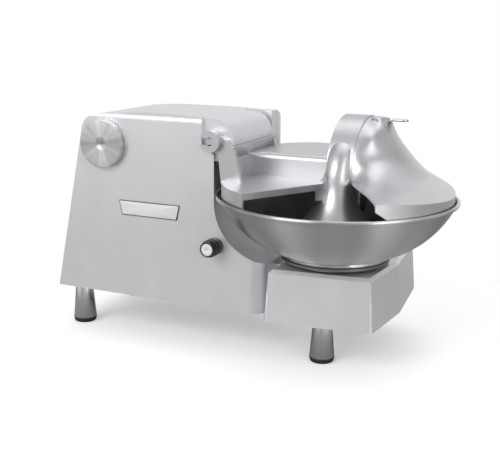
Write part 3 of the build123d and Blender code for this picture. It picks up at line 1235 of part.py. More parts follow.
def make_bowl_cover():
    """The cover casting: wings, shaft tunnel, knife hood with its cape, bell, apron and cheeks."""
    cover = cover_form(0.0) + coves() - cover_form(COVER_WALL)
    cover -= skirt_notch()
    lip = LID_Z - LIP_DROP
    room = rod_z(COVER_RADIUS - COVER_WALL, SKIRT_Z - 5.0, lip)
    cover -= room & wedge(FEED_LEFT_ANGLE - 4.0, FEED_LEFT_ANGLE + 30.0)
    bell = bell_form(0.0) - bell_form(COVER_WALL)
    chamber = rod_x(HOOD_RADIUS - COVER_WALL, HOOD_LEFT_X + COVER_WALL, HOOD_RIGHT_X - COVER_WALL, SHAFT_Y, SHAFT_Z)
    cover -= bell_form(COVER_WALL)
    cover += bell - chamber
    inner = BARREL_RADIUS + APRON_GAP
    apron = rod_y(inner + APRON_WALL, BARREL_FRONT - CHEEK, BARREL_BACK + CHEEK, HINGE_X, HINGE_Z)
    apron -= rod_y(inner, BARREL_FRONT - CHEEK, BARREL_BACK + CHEEK, HINGE_X, HINGE_Z)
    top = radians(APRON_TOP_ANGLE)
    foot = radians(APRON_LOW_ANGLE)
    span = 120.0
    keep = along_y(polygon_xz([
        (HINGE_X, HINGE_Z),
        (HINGE_X + span * cos(top), HINGE_Z + span * sin(top)),
        (HINGE_X + span * cos(foot), HINGE_Z + span * sin(foot)),
    ]), BARREL_FRONT - CHEEK, BARREL_BACK + CHEEK)
    cover += apron & keep
    wall_x = HINGE_X + (inner + APRON_WALL) * cos(foot)
    wall_top = HINGE_Z + (inner + APRON_WALL) * sin(foot) + 1.0
    wall = block(wall_x - APRON_WALL, wall_x, BARREL_FRONT - CHEEK, TUNNEL_FRONT_Y + 4.0, LID_Z - 2.0, wall_top)
    cover += wall
    front = BARREL_FRONT - LOOSE_GAP
    rear = BARREL_BACK + LOOSE_GAP
    cover += hinge_arm(front - CHEEK, front)
    cover += hinge_arm(rear, rear + CHEEK - LOOSE_GAP) - cover_form(COVER_WALL)
    cover += rod_y(BOSS_RADIUS, front - CHEEK - BOSS_PROUD, front, HINGE_X, HINGE_Z)
    boss_front = front - CHEEK - BOSS_PROUD
    cover -= rod_y(PIN_RADIUS + RUNNING_GAP, boss_front, BARREL_BACK + CHEEK + 1.0, HINGE_X, HINGE_Z)
    cover -= block(HINGE_X - 30.0, HINGE_X, boss_front, front, HINGE_Z - PIN_FLAT - 0.2, HINGE_Z + PIN_FLAT + 0.2)
    notch = block(-COVER_RADIUS - 20.0, HOOD_LEFT_X + COVER_WALL + 1.0, SHAFT_Y - SHAFT_NOTCH,
                  SHAFT_Y + SHAFT_NOTCH, SKIRT_Z - 5.0, SHAFT_Z)
    cover -= notch + rod_x(SHAFT_NOTCH, -COVER_RADIUS - 20.0, HOOD_LEFT_X + COVER_WALL + 1.0, SHAFT_Y, SHAFT_Z)
    margin = COVER_WALL + 0.8  # the opening that the knives pass through as the cover swings
    swing = block(HOOD_LEFT_X - 1.0, HOOD_LEFT_X + COVER_WALL + 1.0, TUNNEL_FRONT_Y + margin,
                  SHAFT_Y + TUNNEL_HALF - margin, SKIRT_Z - 5.0, TUNNEL_Z - COVER_WALL - TUNNEL_ROUND)
    return cover - swing


def make_lift_tab():
    """The flat tab that the cover is lifted by, its root leaning with the cape."""
    root = polygon_xz([
        (TAB_X, TAB_Z),
        (TAB_X + TAB_LENGTH, TAB_Z),
        (TAB_X + TAB_LENGTH, TAB_Z + TAB_THICKNESS),
        (TAB_X - TAB_LEAN, TAB_Z + TAB_THICKNESS),
    ])
    tab = along_y(root, TAB_Y - TAB_WIDTH / 2, TAB_Y + TAB_WIDTH / 2)
    ends = tab.edges().filter_by(Axis.Z).group_by(Axis.X)[-1]
    return fillet(ends, TAB_WIDTH / 2 - 0.5)


def make_pulley_pair():
    """The drive pulley and the larger pulley below it."""
    return (
        pulley(DRIVE_PULLEY_RADIUS, SHAFT_Y, SHAFT_Z, SHAFT_RADIUS),
        pulley(WORM_PULLEY_RADIUS, WORM_Y, WORM_Z, WORM_SHAFT_RADIUS),
    )


NODES = {
    "bowl": make_bowl,
    "bowl_drive_plate": make_bowl_drive_plate,
    "bowl_spindle": make_bowl_spindle,
    "spindle_bearings": make_spindle_bearings,
    "spindle_seal": make_spindle_seal,
    "worm_wheel": make_worm_wheel,
    "worm_shaft": make_worm_shaft,
    "worm_bearings": make_worm_bearings,
    "worm_pulley": lambda: make_pulley_pair()[1],
    "drive_pulley": lambda: make_pulley_pair()[0],
    "drive_belt": make_drive_belt,
    "bowl_support": make_bowl_support,
    "support_bottom_plate": make_support_bottom_plate,
    "housing": make_housing,
    "housing_bottom_plate": make_housing_bottom_plate,
    "legs": make_legs,
    "rubber_feet": make_rubber_feet,
    "support_bolts": make_support_bolts,
    "motor_bolts": make_motor_bolts,
    "hub_screws": make_hub_screws,
    "housing_plate_screws": lambda: plate_screws(housing_screw_places()),
    "support_plate_screws": lambda: plate_screws(SUPPORT_SCREWS),
    "knife_shaft": make_knife_shaft,
    "knife_sleeve": make_knife_sleeve,
    "knife_left": lambda: make_knife(KNIFE_X, 0.0),
    "knife_right": lambda: make_knife(KNIFE_X + KNIFE_SPACING, 180.0),
    "knife_spacer": lambda: shaft_ring(KNIFE_HUB_RADIUS - 3.0, KNIFE_X + KNIFE_THICKNESS, KNIFE_X + KNIFE_SPACING),
    "knife_nut": make_knife_nut,
    "shaft_carrier": make_shaft_carrier,
    "carrier_bearing": make_carrier_bearing,
    "motor_frame": make_motor_frame,
    "motor_end_bells": make_motor_end_bells,
    "motor_bearings": make_motor_bearings,
    "motor_stator": make_motor_stator,
    "motor_rotor": make_motor_rotor,
    "motor_fan": make_motor_fan,
    "run_capacitor": make_run_capacitor,
    "capacitor_bracket": make_capacitor_bracket,
    "hub_worm": make_hub_worm,
    "hub_worm_wheel": make_hub_worm_wheel,
    "hub_drive_shaft": make_hub_drive_shaft,
    "attachment_hub": make_attachment_hub,
    "hub_plug": make_hub_plug,
    "badge_plate": make_badge_plate,
    "switch_bezel": make_switch_bezel,
    "switch_knob": make_switch_knob,
    "hinge_pin": make_hinge_pin,
    "bowl_cover": make_bowl_cover,
    "lift_tab": make_lift_tab,
}

os.makedirs("parts", exist_ok=True)
CARRY = Pos((HOUSING_REACH - RIM_RADIUS) / 2, 0, 0)
for node, maker in NODES.items():
    export_step(CARRY * maker(), f"parts/{node}.step")
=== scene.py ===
"""Looks of a bench-top meat bowl cutter: castings, spun bowl, polished fittings and a plain studio."""
from __future__ import annotations

import json
import logging
import math
from dataclasses import dataclass
from enum import Enum

import bpy
import numpy as np
from mathutils import Matrix, Vector

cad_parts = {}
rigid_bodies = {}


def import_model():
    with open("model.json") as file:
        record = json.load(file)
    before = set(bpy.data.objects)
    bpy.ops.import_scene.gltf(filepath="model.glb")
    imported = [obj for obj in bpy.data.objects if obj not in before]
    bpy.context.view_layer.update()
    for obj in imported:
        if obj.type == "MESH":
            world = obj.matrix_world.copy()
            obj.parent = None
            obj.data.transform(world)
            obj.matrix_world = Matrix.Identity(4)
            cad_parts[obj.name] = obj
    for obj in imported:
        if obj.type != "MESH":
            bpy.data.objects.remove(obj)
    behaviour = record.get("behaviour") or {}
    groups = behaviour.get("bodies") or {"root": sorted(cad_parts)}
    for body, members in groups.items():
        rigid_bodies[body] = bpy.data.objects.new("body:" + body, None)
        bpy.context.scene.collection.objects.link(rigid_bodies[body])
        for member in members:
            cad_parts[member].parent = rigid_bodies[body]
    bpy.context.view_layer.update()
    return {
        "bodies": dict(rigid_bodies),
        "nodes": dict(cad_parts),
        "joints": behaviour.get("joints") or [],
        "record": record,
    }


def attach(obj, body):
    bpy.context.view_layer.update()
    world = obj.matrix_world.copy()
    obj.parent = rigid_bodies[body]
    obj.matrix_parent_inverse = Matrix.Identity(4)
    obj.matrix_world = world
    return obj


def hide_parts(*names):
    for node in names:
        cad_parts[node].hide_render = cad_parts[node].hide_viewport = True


LOG = logging.getLogger("bowl_cutter")

Pair = tuple[float, float]
Point = tuple[float, float, float]

# Places shared by several sub-assemblies, in metres, in the part's own frame.
BOWL_X = 0.1772
SHAFT_Y = 0.112
PANEL_Y = -0.090
LEG_TOP_Z = 0.088
BOWL_CENTRE = (BOWL_X, 0.0, 0.0)
HUB_CENTRE = (BOWL_X - 0.459, 0.0, 0.397)

BLACK = (0.0, 0.0, 0.0)
WHITE = (1.0, 1.0, 1.0)
AXIS_HOLE = 0.0003  # radius of a turned piece's poles, too small to see
TO_THE_MIDDLE = 9.0  # an inset past any plate's reach, which draws its ring in to a pinhole
PINHOLE = 0.001  # the share of a plate's outline that such a ring keeps


class Axis(Enum):
    """The axis that a turned piece is turned about."""

    X = 0
    Y = 1
    Z = 2


# ---------------------------------------------------------------------------------- surfaces
def turned_grid(profile: np.ndarray, centre: Point, axis: Axis, turns: int) -> np.ndarray:
    """Turns an outline about an axis.

    Formula: point(i, a) = centre + radius(i) * (cos a * e1 + sin a * e2) + height(i) * e3,
    where e3 is the axis.

    Args:
        profile: Rows of (radius, height along the axis).
        centre: A point of the axis.
        axis: The axis turned about.
        turns: Steps of the full turn.

    Returns:
        Array of shape (rows, turns, 3).
    """
    angle = np.linspace(0.0, 2.0 * math.pi, turns, endpoint=False)
    radius, height = profile[:, 0], profile[:, 1]
    first, second = [(1, 2), (2, 0), (0, 1)][axis.value]
    grid = np.zeros((len(profile), turns, 3))
    grid[..., first] = radius[:, None] * np.cos(angle)[None, :]
    grid[..., second] = radius[:, None] * np.sin(angle)[None, :]
    grid[..., axis.value] = height[:, None]
    return grid + np.asarray(centre)


def grid_faces(rows: int, columns: int, wrap_rows: bool, wrap_columns: bool) -> np.ndarray:
    """Numbers the quads of a grid: (i, j), (i, j+1), (i+1, j+1), (i+1, j).

    Args:
        rows: Points along the first parameter.
        columns: Points along the second parameter.
        wrap_rows: Whether the last row meets the first.
        wrap_columns: Whether the last column meets the first.

    Returns:
        Array of shape (quads, 4) of point numbers.
    """
    i = np.arange(rows if wrap_rows else rows - 1)
    j = np.arange(columns if wrap_columns else columns - 1)
    first, second = np.meshgrid(i, j, indexing="ij")
    after, beside = (first + 1) % rows, (second + 1) % columns
    corners = [(first, second), (first, beside), (after, beside), (after, second)]
    return np.stack([(row * columns + column).ravel() for row, column in corners], axis=1)


def make_object(
    name: str, points: np.ndarray, faces: np.ndarray, smooth: bool = True
) -> bpy.types.Object:
    """Puts points and faces into a new object at the origin.

    Args:
        name: The piece's name.
        points: Array of shape (n, 3), in metres.
        faces: Array of shape (m, 4).
        smooth: Whether the faces are shaded smooth.

    Returns:
        The object.
    """
    mesh = bpy.data.meshes.new(name)
    mesh.from_pydata(points.reshape(-1, 3).tolist(), [], faces.tolist())
    mesh.polygons.foreach_set("use_smooth", np.full(len(mesh.polygons), smooth))
    mesh.update()
    piece = bpy.data.objects.new(name, mesh)
    bpy.context.scene.collection.objects.link(piece)
    return piece


def turned_piece(
    name: str, outline: list[Pair], centre: Point, axis: Axis, turns: int
) -> bpy.types.Object:
    """Makes a closed solid turned from a closed outline.

    Args:
        name: The piece's name.
        outline: Points of (radius, height), running so that the faces point outwards.
        centre: A point of the axis.
        axis: The axis turned about.
        turns: Steps of the full turn.

    Returns:
        The object.
    """
    profile = np.asarray(outline, dtype=float)
    grid = turned_grid(profile, centre, axis, turns)
    return make_object(name, grid, grid_faces(len(profile), turns, True, True)[:, ::-1])


def arc_points(centre: Pair, radius: float, start: float, end: float, count: int) -> list[Pair]:
    """Points of a round: centre + radius * (cos t, sin t) for t from start to end, in degrees."""
    turn = np.radians(np.linspace(start, end, count))
    return list(zip(centre[0] + radius * np.cos(turn), centre[1] + radius * np.sin(turn)))


# ---------------------------------------------------------------------------------- shader groups
def new_group(
    name: str, inputs: dict[str, float]
) -> tuple[bpy.types.NodeTree, bpy.types.Node, bpy.types.Node]:
    """Makes an empty shader group with number inputs and one number output, Value.

    Args:
        name: The group's name.
        inputs: The default of each input.

    Returns:
        The group, its input node and its output node.
    """
    group = bpy.data.node_groups.new(name, "ShaderNodeTree")
    for label, value in inputs.items():
        socket = group.interface.new_socket(label, in_out="INPUT", socket_type="NodeSocketFloat")
        socket.default_value = value
    group.interface.new_socket("Value", in_out="OUTPUT", socket_type="NodeSocketFloat")
    return group, group.nodes.new("NodeGroupInput"), group.nodes.new("NodeGroupOutput")


def math_node(
    tree: bpy.types.NodeTree, operation: str, *values: bpy.types.NodeSocket | float
) -> bpy.types.NodeSocket:
    """Adds a Math node.

    Args:
        tree: The node tree or group.
        operation: What the node works out.
        values: Its inputs in order, each a socket or a plain number.

    Returns:
        The result's socket.
    """
    node = tree.nodes.new("ShaderNodeMath")
    node.operation = operation
    for socket, value in zip(node.inputs, values):
        if isinstance(value, float):
            socket.default_value = value
        else:
            tree.links.new(value, socket)
    return node.outputs["Value"]


def vector_node(
    tree: bpy.types.NodeTree, operation: str, *values: bpy.types.NodeSocket
) -> bpy.types.Node:
    """Adds a Vector Math node.

    Args:
        tree: The node tree or group.
        operation: What the node works out.
        values: The sockets of its inputs, in order.

    Returns:
        The node, whose result is Value for a length and Vector otherwise.
    """
    node = tree.nodes.new("ShaderNodeVectorMath")
    node.operation = operation
    for socket, value in zip(node.inputs, values):
        tree.links.new(value, socket)
    return node


def colour_mix(
    tree: bpy.types.NodeTree,
    factor: bpy.types.NodeSocket,
    low: Point | bpy.types.NodeSocket,
    high: Point | bpy.types.NodeSocket,
) -> bpy.types.NodeSocket:
    """Mixes two colours, each a socket or plain numbers.

    Args:
        tree: The node tree.
        factor: The socket that goes from 0, which shows low, to 1, which shows high.
        low: The first colour.
        high: The second colour.

    Returns:
        The mixed colour's socket.
    """
    node = tree.nodes.new("ShaderNodeMix")
    node.data_type = "RGBA"
    tree.links.new(factor, node.inputs["Factor"])
    for label, value in (("A", low), ("B", high)):
        if isinstance(value, bpy.types.NodeSocket):
            tree.links.new(value, node.inputs[label])
        else:
            node.inputs[label].default_value = (*value, 1.0)
    return node.outputs["Result"]


def lobe_sum(
    tree: bpy.types.NodeTree, angle: bpy.types.NodeSocket, middle: float, lobes: tuple[Point, ...]
) -> bpy.types.NodeSocket:
    """Adds cosines of an angle to a middle value.

    Formula: value = middle + the sum of weight * cos(times * angle + phase).

    Args:
        tree: The node tree or group.
        angle: The angle's socket.
        middle: The value that the lobes stand round.
        lobes: Rows of (times, phase, weight).

    Returns:
        The sum's socket.
    """
    total = middle
    for times, phase, weight in lobes:
        turned = math_node(tree, "MULTIPLY_ADD", angle, times, phase)
        total = math_node(tree, "MULTIPLY_ADD", math_node(tree, "COSINE", turned), weight, total)
    return total


class ShaderGroups:
    """The effects that several finishes share, each built once."""

    RING_DETAIL = 6.0
    RING_REACH = (0.25, 0.75)
    # Painted highlights: the middle value and the lobes of (times, phase, weight) of the bright and
    # dark wedges.
    HIGHLIGHT_MIDDLE = 0.5
    HIGHLIGHT_LOBES = ((2.0, 0.0, 0.26), (6.0, 0.8, 0.13), (15.0, 2.0, 0.09))

    def __init__(self) -> None:
        """Builds fine grain, slow unevenness as from handling, turning marks and the painted highlight
        wedges.
        """
        self.grain = self._noise("FineGrain", 900.0, detail=3.0, distortion=0.0, reach=(0.3, 0.7))
        self.clouds = self._noise("SlowClouds", 9.0, detail=5.0, distortion=0.6, reach=(0.28, 0.72))
        self.rings = self._rings()
        self.painted_highlights = self._painted_highlights()

    @staticmethod
    def _put_out(
        group: bpy.types.NodeTree, into: bpy.types.Node, out: bpy.types.Node,
        value: bpy.types.NodeSocket, reach: Pair,
    ) -> None:
        """Maps a value to the range between the inputs Low and High, and puts it out.

        Args:
            group: The shader group.
            into: The group's input node.
            out: The group's output node.
            value: The value's socket.
            reach: The values that become Low and High.
        """
        spread = group.nodes.new("ShaderNodeMapRange")
        spread.inputs["From Min"].default_value, spread.inputs["From Max"].default_value = reach
        group.links.new(value, spread.inputs["Value"])
        group.links.new(into.outputs["Low"], spread.inputs["To Min"])
        group.links.new(into.outputs["High"], spread.inputs["To Max"])
        group.links.new(spread.outputs["Result"], out.inputs["Value"])

    @staticmethod
    def _offset(group: bpy.types.NodeTree, into: bpy.types.Node) -> bpy.types.NodeSocket:
        """Works out the Object coordinate less the inputs X, Y and Z.

        Args:
            group: The shader group.
            into: The group's input node.

        Returns:
            The difference's socket.
        """
        place = group.nodes.new("ShaderNodeTexCoord")
        centre = group.nodes.new("ShaderNodeCombineXYZ")
        for label in "XYZ":
            group.links.new(into.outputs[label], centre.inputs[label])
        offset = vector_node(group, "SUBTRACT", place.outputs["Object"], centre.outputs["Vector"])
        return offset.outputs["Vector"]

    def _noise(
        self, name: str, scale: float, detail: float, distortion: float, reach: Pair
    ) -> bpy.types.NodeTree:
        """Makes a group of noise on Object coordinates.

        Args:
            name: The group's name.
            scale: The default of the input Scale.
            detail: Octaves of the noise.
            distortion: How far the noise is warped.
            reach: The noise values that become Low and High.

        Returns:
            The group.
        """
        group, into, out = new_group(name, {"Scale": scale, "Low": 0.0, "High": 1.0})
        place = group.nodes.new("ShaderNodeTexCoord")
        noise = group.nodes.new("ShaderNodeTexNoise")
        noise.inputs["Detail"].default_value = detail
        noise.inputs["Distortion"].default_value = distortion
        group.links.new(place.outputs["Object"], noise.inputs["Vector"])
        group.links.new(into.outputs["Scale"], noise.inputs["Scale"])
        self._put_out(group, into, out, noise.outputs["Fac"], reach)
        return group

    def _rings(self) -> bpy.types.NodeTree:
        """Makes the group of turning marks: noise of the distance from an axis through (X, Y, Z).

        The axis's own Keep is 0 and the other two are 1, so that only the distance from it counts.

        Returns:
            The group.
        """
        inputs = {"X": 0.0, "Y": 0.0, "Z": 0.0, "Keep X": 1.0, "Keep Y": 1.0, "Keep Z": 0.0,
                  "Scale": 400.0, "Low": 0.0, "High": 1.0}
        group, into, out = new_group("TurningRings", inputs)
        keep = group.nodes.new("ShaderNodeCombineXYZ")
        for label in "XYZ":
            group.links.new(into.outputs["Keep " + label], keep.inputs[label])
        flat = vector_node(group, "MULTIPLY", self._offset(group, into), keep.outputs["Vector"])
        length = vector_node(group, "LENGTH", flat.outputs["Vector"])
        noise = group.nodes.new("ShaderNodeTexNoise")
        noise.noise_dimensions = "1D"
        noise.inputs["Detail"].default_value = self.RING_DETAIL
        group.links.new(length.outputs["Value"], noise.inputs["W"])
        group.links.new(into.outputs["Scale"], noise.inputs["Scale"])
        self._put_out(group, into, out, noise.outputs["Fac"], self.RING_REACH)
        return group

    def _painted_highlights(self) -> bpy.types.NodeTree:
        """Makes the group of painted highlights: soft bright and dark wedges round an axis through (X,
        Y, Z), the light and shade of a turned face painted as a pattern.

        Formula: the class's middle value plus the cosines of its lobes of the angle round the axis,
        with 0 as Low and 1 as High. The axis is Z, or Y where Turned About Y is 1.

        Returns:
            The group.
        """
        labels = ("X", "Y", "Z", "Turned About Y", "Turn", "Low")
        group, into, out = new_group("PaintedHighlightSectors", {**dict.fromkeys(labels, 0.0), "High": 1.0})
        parts = group.nodes.new("ShaderNodeSeparateXYZ")
        group.links.new(self._offset(group, into), parts.inputs["Vector"])
        second = group.nodes.new("ShaderNodeMix")
        group.links.new(into.outputs["Turned About Y"], second.inputs["Factor"])
        group.links.new(parts.outputs["Y"], second.inputs["A"])
        group.links.new(parts.outputs["Z"], second.inputs["B"])
        bearing = math_node(group, "ARCTAN2", parts.outputs["X"], second.outputs["Result"])
        angle = math_node(group, "ADD", bearing, into.outputs["Turn"])
        total = lobe_sum(group, angle, self.HIGHLIGHT_MIDDLE, self.HIGHLIGHT_LOBES)
        self._put_out(group, into, out, total, (0.0, 1.0))
        return group


# ---------------------------------------------------------------------------------- finishes
@dataclass(frozen=True)
class Finish:
    """A surface finish: its colour, how it shines, and its fine relief."""

    ACROSS = 0.25  # a quarter turn, so that highlights run across the turning marks
    FINER = 2.7  # how much finer the roughness varies than the tint
    SMOOTHEST = 0.02  # the least roughness

    name: str
    colour: Point
    metallic: float
    roughness: float
    roughness_spread: float = 0.06
    tint_spread: float = 0.05
    grain_scale: float = 900.0
    grain_depth: float = 0.00002
    cloud_scale: float = 9.0
    coat: float = 0.0
    ring_centre: Point | None = None
    ring_axis: Axis = Axis.Z
    ring_scale: float = 500.0
    ring_depth: float = 0.00003
    brushed: float = 0.0
    # How deep the painted shade between the painted highlight wedges goes, and the turn of the wedges.
    painted_highlights: float = 0.0
    painted_highlight_turn: float = 0.0

    def build(self, groups: ShaderGroups) -> bpy.types.Material:
        """Makes the material.

        Args:
            groups: The shared shader groups.

        Returns:
            A node material that reads Object coordinates.
        """
        material = bpy.data.materials.new(self.name)
        material.use_nodes = True
        tree = material.node_tree
        shader = tree.nodes["Principled BSDF"]
        shader.inputs["Metallic"].default_value = self.metallic
        shader.inputs["Coat Weight"].default_value = self.coat
        shader.inputs["Anisotropic"].default_value = self.brushed
        shader.inputs["Anisotropic Rotation"].default_value = self.ACROSS
        clouds = self._place(tree, groups.clouds, {"Scale": self.cloud_scale})
        dark = tuple(c * (1.0 - self.tint_spread) for c in self.colour)
        light = tuple(min(1.0, c * (1.0 + self.tint_spread)) for c in self.colour)
        colour = colour_mix(tree, clouds.outputs["Value"], dark, light)
        # Painted highlight and shade in wedges round the turned axis.
        if self.painted_highlights > 0.0 and self.ring_centre is not None:
            colour = self._with_painted_highlights(tree, groups, colour)
        tree.links.new(colour, shader.inputs["Base Color"])
        values = {"Scale": self.cloud_scale * self.FINER,
                  "Low": max(self.SMOOTHEST, self.roughness - self.roughness_spread),
                  "High": self.roughness + self.roughness_spread}
        rough = self._place(tree, groups.clouds, values)
        tree.links.new(rough.outputs["Value"], shader.inputs["Roughness"])
        normal = self._relief(tree, groups)
        tree.links.new(normal, shader.inputs["Normal"])
        return material

    def _with_painted_highlights(
        self, tree: bpy.types.NodeTree, groups: ShaderGroups, colour: bpy.types.NodeSocket
    ) -> bpy.types.NodeSocket:
        """Darkens a colour in soft wedges round the turned axis: painted shade between painted
        highlights, standing in for the light on a turned face.

        Args:
            tree: The material's node tree.
            groups: The shared shader groups.
            colour: The colour's socket.

        Returns:
            The darkened colour's socket.
        """
        values = dict(zip(("X", "Y", "Z"), self.ring_centre))
        values["Turned About Y"] = 1.0 if self.ring_axis is Axis.Y else 0.0
        values["Turn"] = self.painted_highlight_turn
        values["Low"] = 1.0 - self.painted_highlights
        painted_highlights = self._place(tree, groups.painted_highlights, values)
        return colour_mix(tree, painted_highlights.outputs["Value"], BLACK, colour)

    def _relief(self, tree: bpy.types.NodeTree, groups: ShaderGroups) -> bpy.types.NodeSocket:
        """Bumps the surface with the grain, and with turning marks where the piece is turned.

        Args:
            tree: The material's node tree.
            groups: The shared shader groups.

        Returns:
            The normal's socket.
        """
        grain = self._place(tree, groups.grain, {"Scale": self.grain_scale})
        bump = tree.nodes.new("ShaderNodeBump")
        bump.inputs["Distance"].default_value = self.grain_depth
        tree.links.new(grain.outputs["Value"], bump.inputs["Height"])
        if self.ring_centre is None:
            return bump.outputs["Normal"]
        keep = [0.0 if axis is self.ring_axis else 1.0 for axis in Axis]
        values = dict(zip(("X", "Y", "Z"), self.ring_centre))
        values.update(zip(("Keep X", "Keep Y", "Keep Z"), keep))
        values["Scale"] = self.ring_scale
        rings = self._place(tree, groups.rings, values)
        marks = tree.nodes.new("ShaderNodeBump")
        marks.inputs["Distance"].default_value = self.ring_depth
        tree.links.new(rings.outputs["Value"], marks.inputs["Height"])
        tree.links.new(bump.outputs["Normal"], marks.inputs["Normal"])
        return marks.outputs["Normal"]

    @staticmethod
    def _place(
        tree: bpy.types.NodeTree, group: bpy.types.NodeTree, values: dict[str, float]
    ) -> bpy.types.Node:
        """Places a shader group in a material.

        Args:
            tree: The material's node tree.
            group: The shader group.
            values: The group's inputs that differ from their defaults.

        Returns:
            The group's node.
        """
        node = tree.nodes.new("ShaderNodeGroup")
        node.node_tree = group
        for label, value in values.items():
            node.inputs[label].default_value = value
        return node


FINISHES = {
    "cast": Finish("LacqueredCasting", (0.80, 0.805, 0.82), metallic=0.6, roughness=0.34,
                   roughness_spread=0.05, tint_spread=0.02, grain_scale=1400.0, coat=0.25),
    "cover_cast": Finish("SatinCasting", (0.66, 0.665, 0.675), metallic=0.92, roughness=0.38,
                         roughness_spread=0.05, tint_spread=0.03, grain_scale=700.0),
    # The bowl's colour carries painted highlight and shade wedges round its axis.
    "stainless": Finish("SpunStainless", (0.86, 0.855, 0.84), metallic=1.0, roughness=0.36,
                        roughness_spread=0.03, tint_spread=0.04, grain_scale=1500.0,
                        grain_depth=0.000008, ring_centre=BOWL_CENTRE, ring_depth=0.00001,
                        brushed=0.9, painted_highlights=0.6, painted_highlight_turn=0.82),
    "polished": Finish("PolishedSteel", (0.62, 0.615, 0.605), metallic=1.0, roughness=0.14,
                       roughness_spread=0.03, tint_spread=0.03),
    "sheet": Finish("PlainSheet", (0.5, 0.505, 0.51), metallic=1.0, roughness=0.42),
    "iron": Finish("MachinedIron", (0.24, 0.245, 0.25), metallic=0.9, roughness=0.45),
    "steel": Finish("GroundSteel", (0.55, 0.555, 0.56), metallic=1.0, roughness=0.25),
    "bronze": Finish("GearBronze", (0.52, 0.35, 0.16), metallic=1.0, roughness=0.35),
    "motor_paint": Finish("MotorEnamel", (0.05, 0.055, 0.06), metallic=0.0, roughness=0.4),
    "black_rubber": Finish("BlackRubber", (0.018, 0.018, 0.019), metallic=0.0, roughness=0.62,
                           roughness_spread=0.08),
    "black_plastic": Finish("BlackMoulding", (0.022, 0.022, 0.024), metallic=0.0, roughness=0.34),
    # The plug's face colour carries painted highlight and shade wedges round its axis.
    "polished_face": Finish("TurnedFace", (0.88, 0.88, 0.885), metallic=0.7, roughness=0.34,
                            roughness_spread=0.03, tint_spread=0.02, grain_scale=1200.0,
                            grain_depth=0.000006, ring_centre=HUB_CENTRE, ring_axis=Axis.Y,
                            ring_scale=900.0, ring_depth=0.00002, painted_highlights=0.5),
    "white_plastic": Finish("WhiteCap", (0.82, 0.82, 0.81), metallic=0.0, roughness=0.3),
    "plate_white": Finish("BareEnamelPlate", (0.80, 0.80, 0.795), metallic=0.0, roughness=0.26,
                          coat=0.3),
}


class FinishBook:
    """Builds each finish once and hands it out by the record's slot name."""

    def __init__(self) -> None:
        """Builds the shared groups."""
        self.groups = ShaderGroups()
        self.made: dict[str, bpy.types.Material] = {}

    def material(self, slot: str) -> bpy.types.Material:
        """Finds or builds the material of a slot.

        Args:
            slot: The slot's name in the record.

        Returns:
            The material.
        """
        if slot not in self.made:
            self.made[slot] = FINISHES[slot].build(self.groups)
        return self.made[slot]

    def dress(self, piece: bpy.types.Object, slot: str) -> None:
        """Gives a whole piece one finish, by its slot's name."""
        piece.data.materials.clear()
        piece.data.materials.append(self.material(slot))


# ---------------------------------------------------------------------------------- studio
@dataclass(frozen=True)
class Lamp:
    """A soft rectangular lamp that points from its place to its aim; its size is in metres."""

    name: str
    place: Point
    size: Pair
    watts: float
    aim: Point = (0.0, 0.0, 0.25)

    def build(self, scene: bpy.types.Scene) -> None:
        """Adds the lamp to the scene.

        Args:
            scene: The scene that it lights.
        """
        data = bpy.data.lights.new(self.name, "AREA")
        data.shape = "RECTANGLE"
        data.size, data.size_y = self.size
        data.energy = self.watts
        lamp = bpy.data.objects.new(self.name, data)
        back = np.subtract(self.place, self.aim)
        back /= np.linalg.norm(back)
        side = np.cross((0.0, 0.0, 1.0), back)
        side /= np.linalg.norm(side)
        frame = np.eye(4)
        frame[:3] = np.stack([side, np.cross(back, side), back, self.place], axis=1)
        lamp.matrix_world = Matrix(frame.tolist())
        scene.collection.objects.link(lamp)


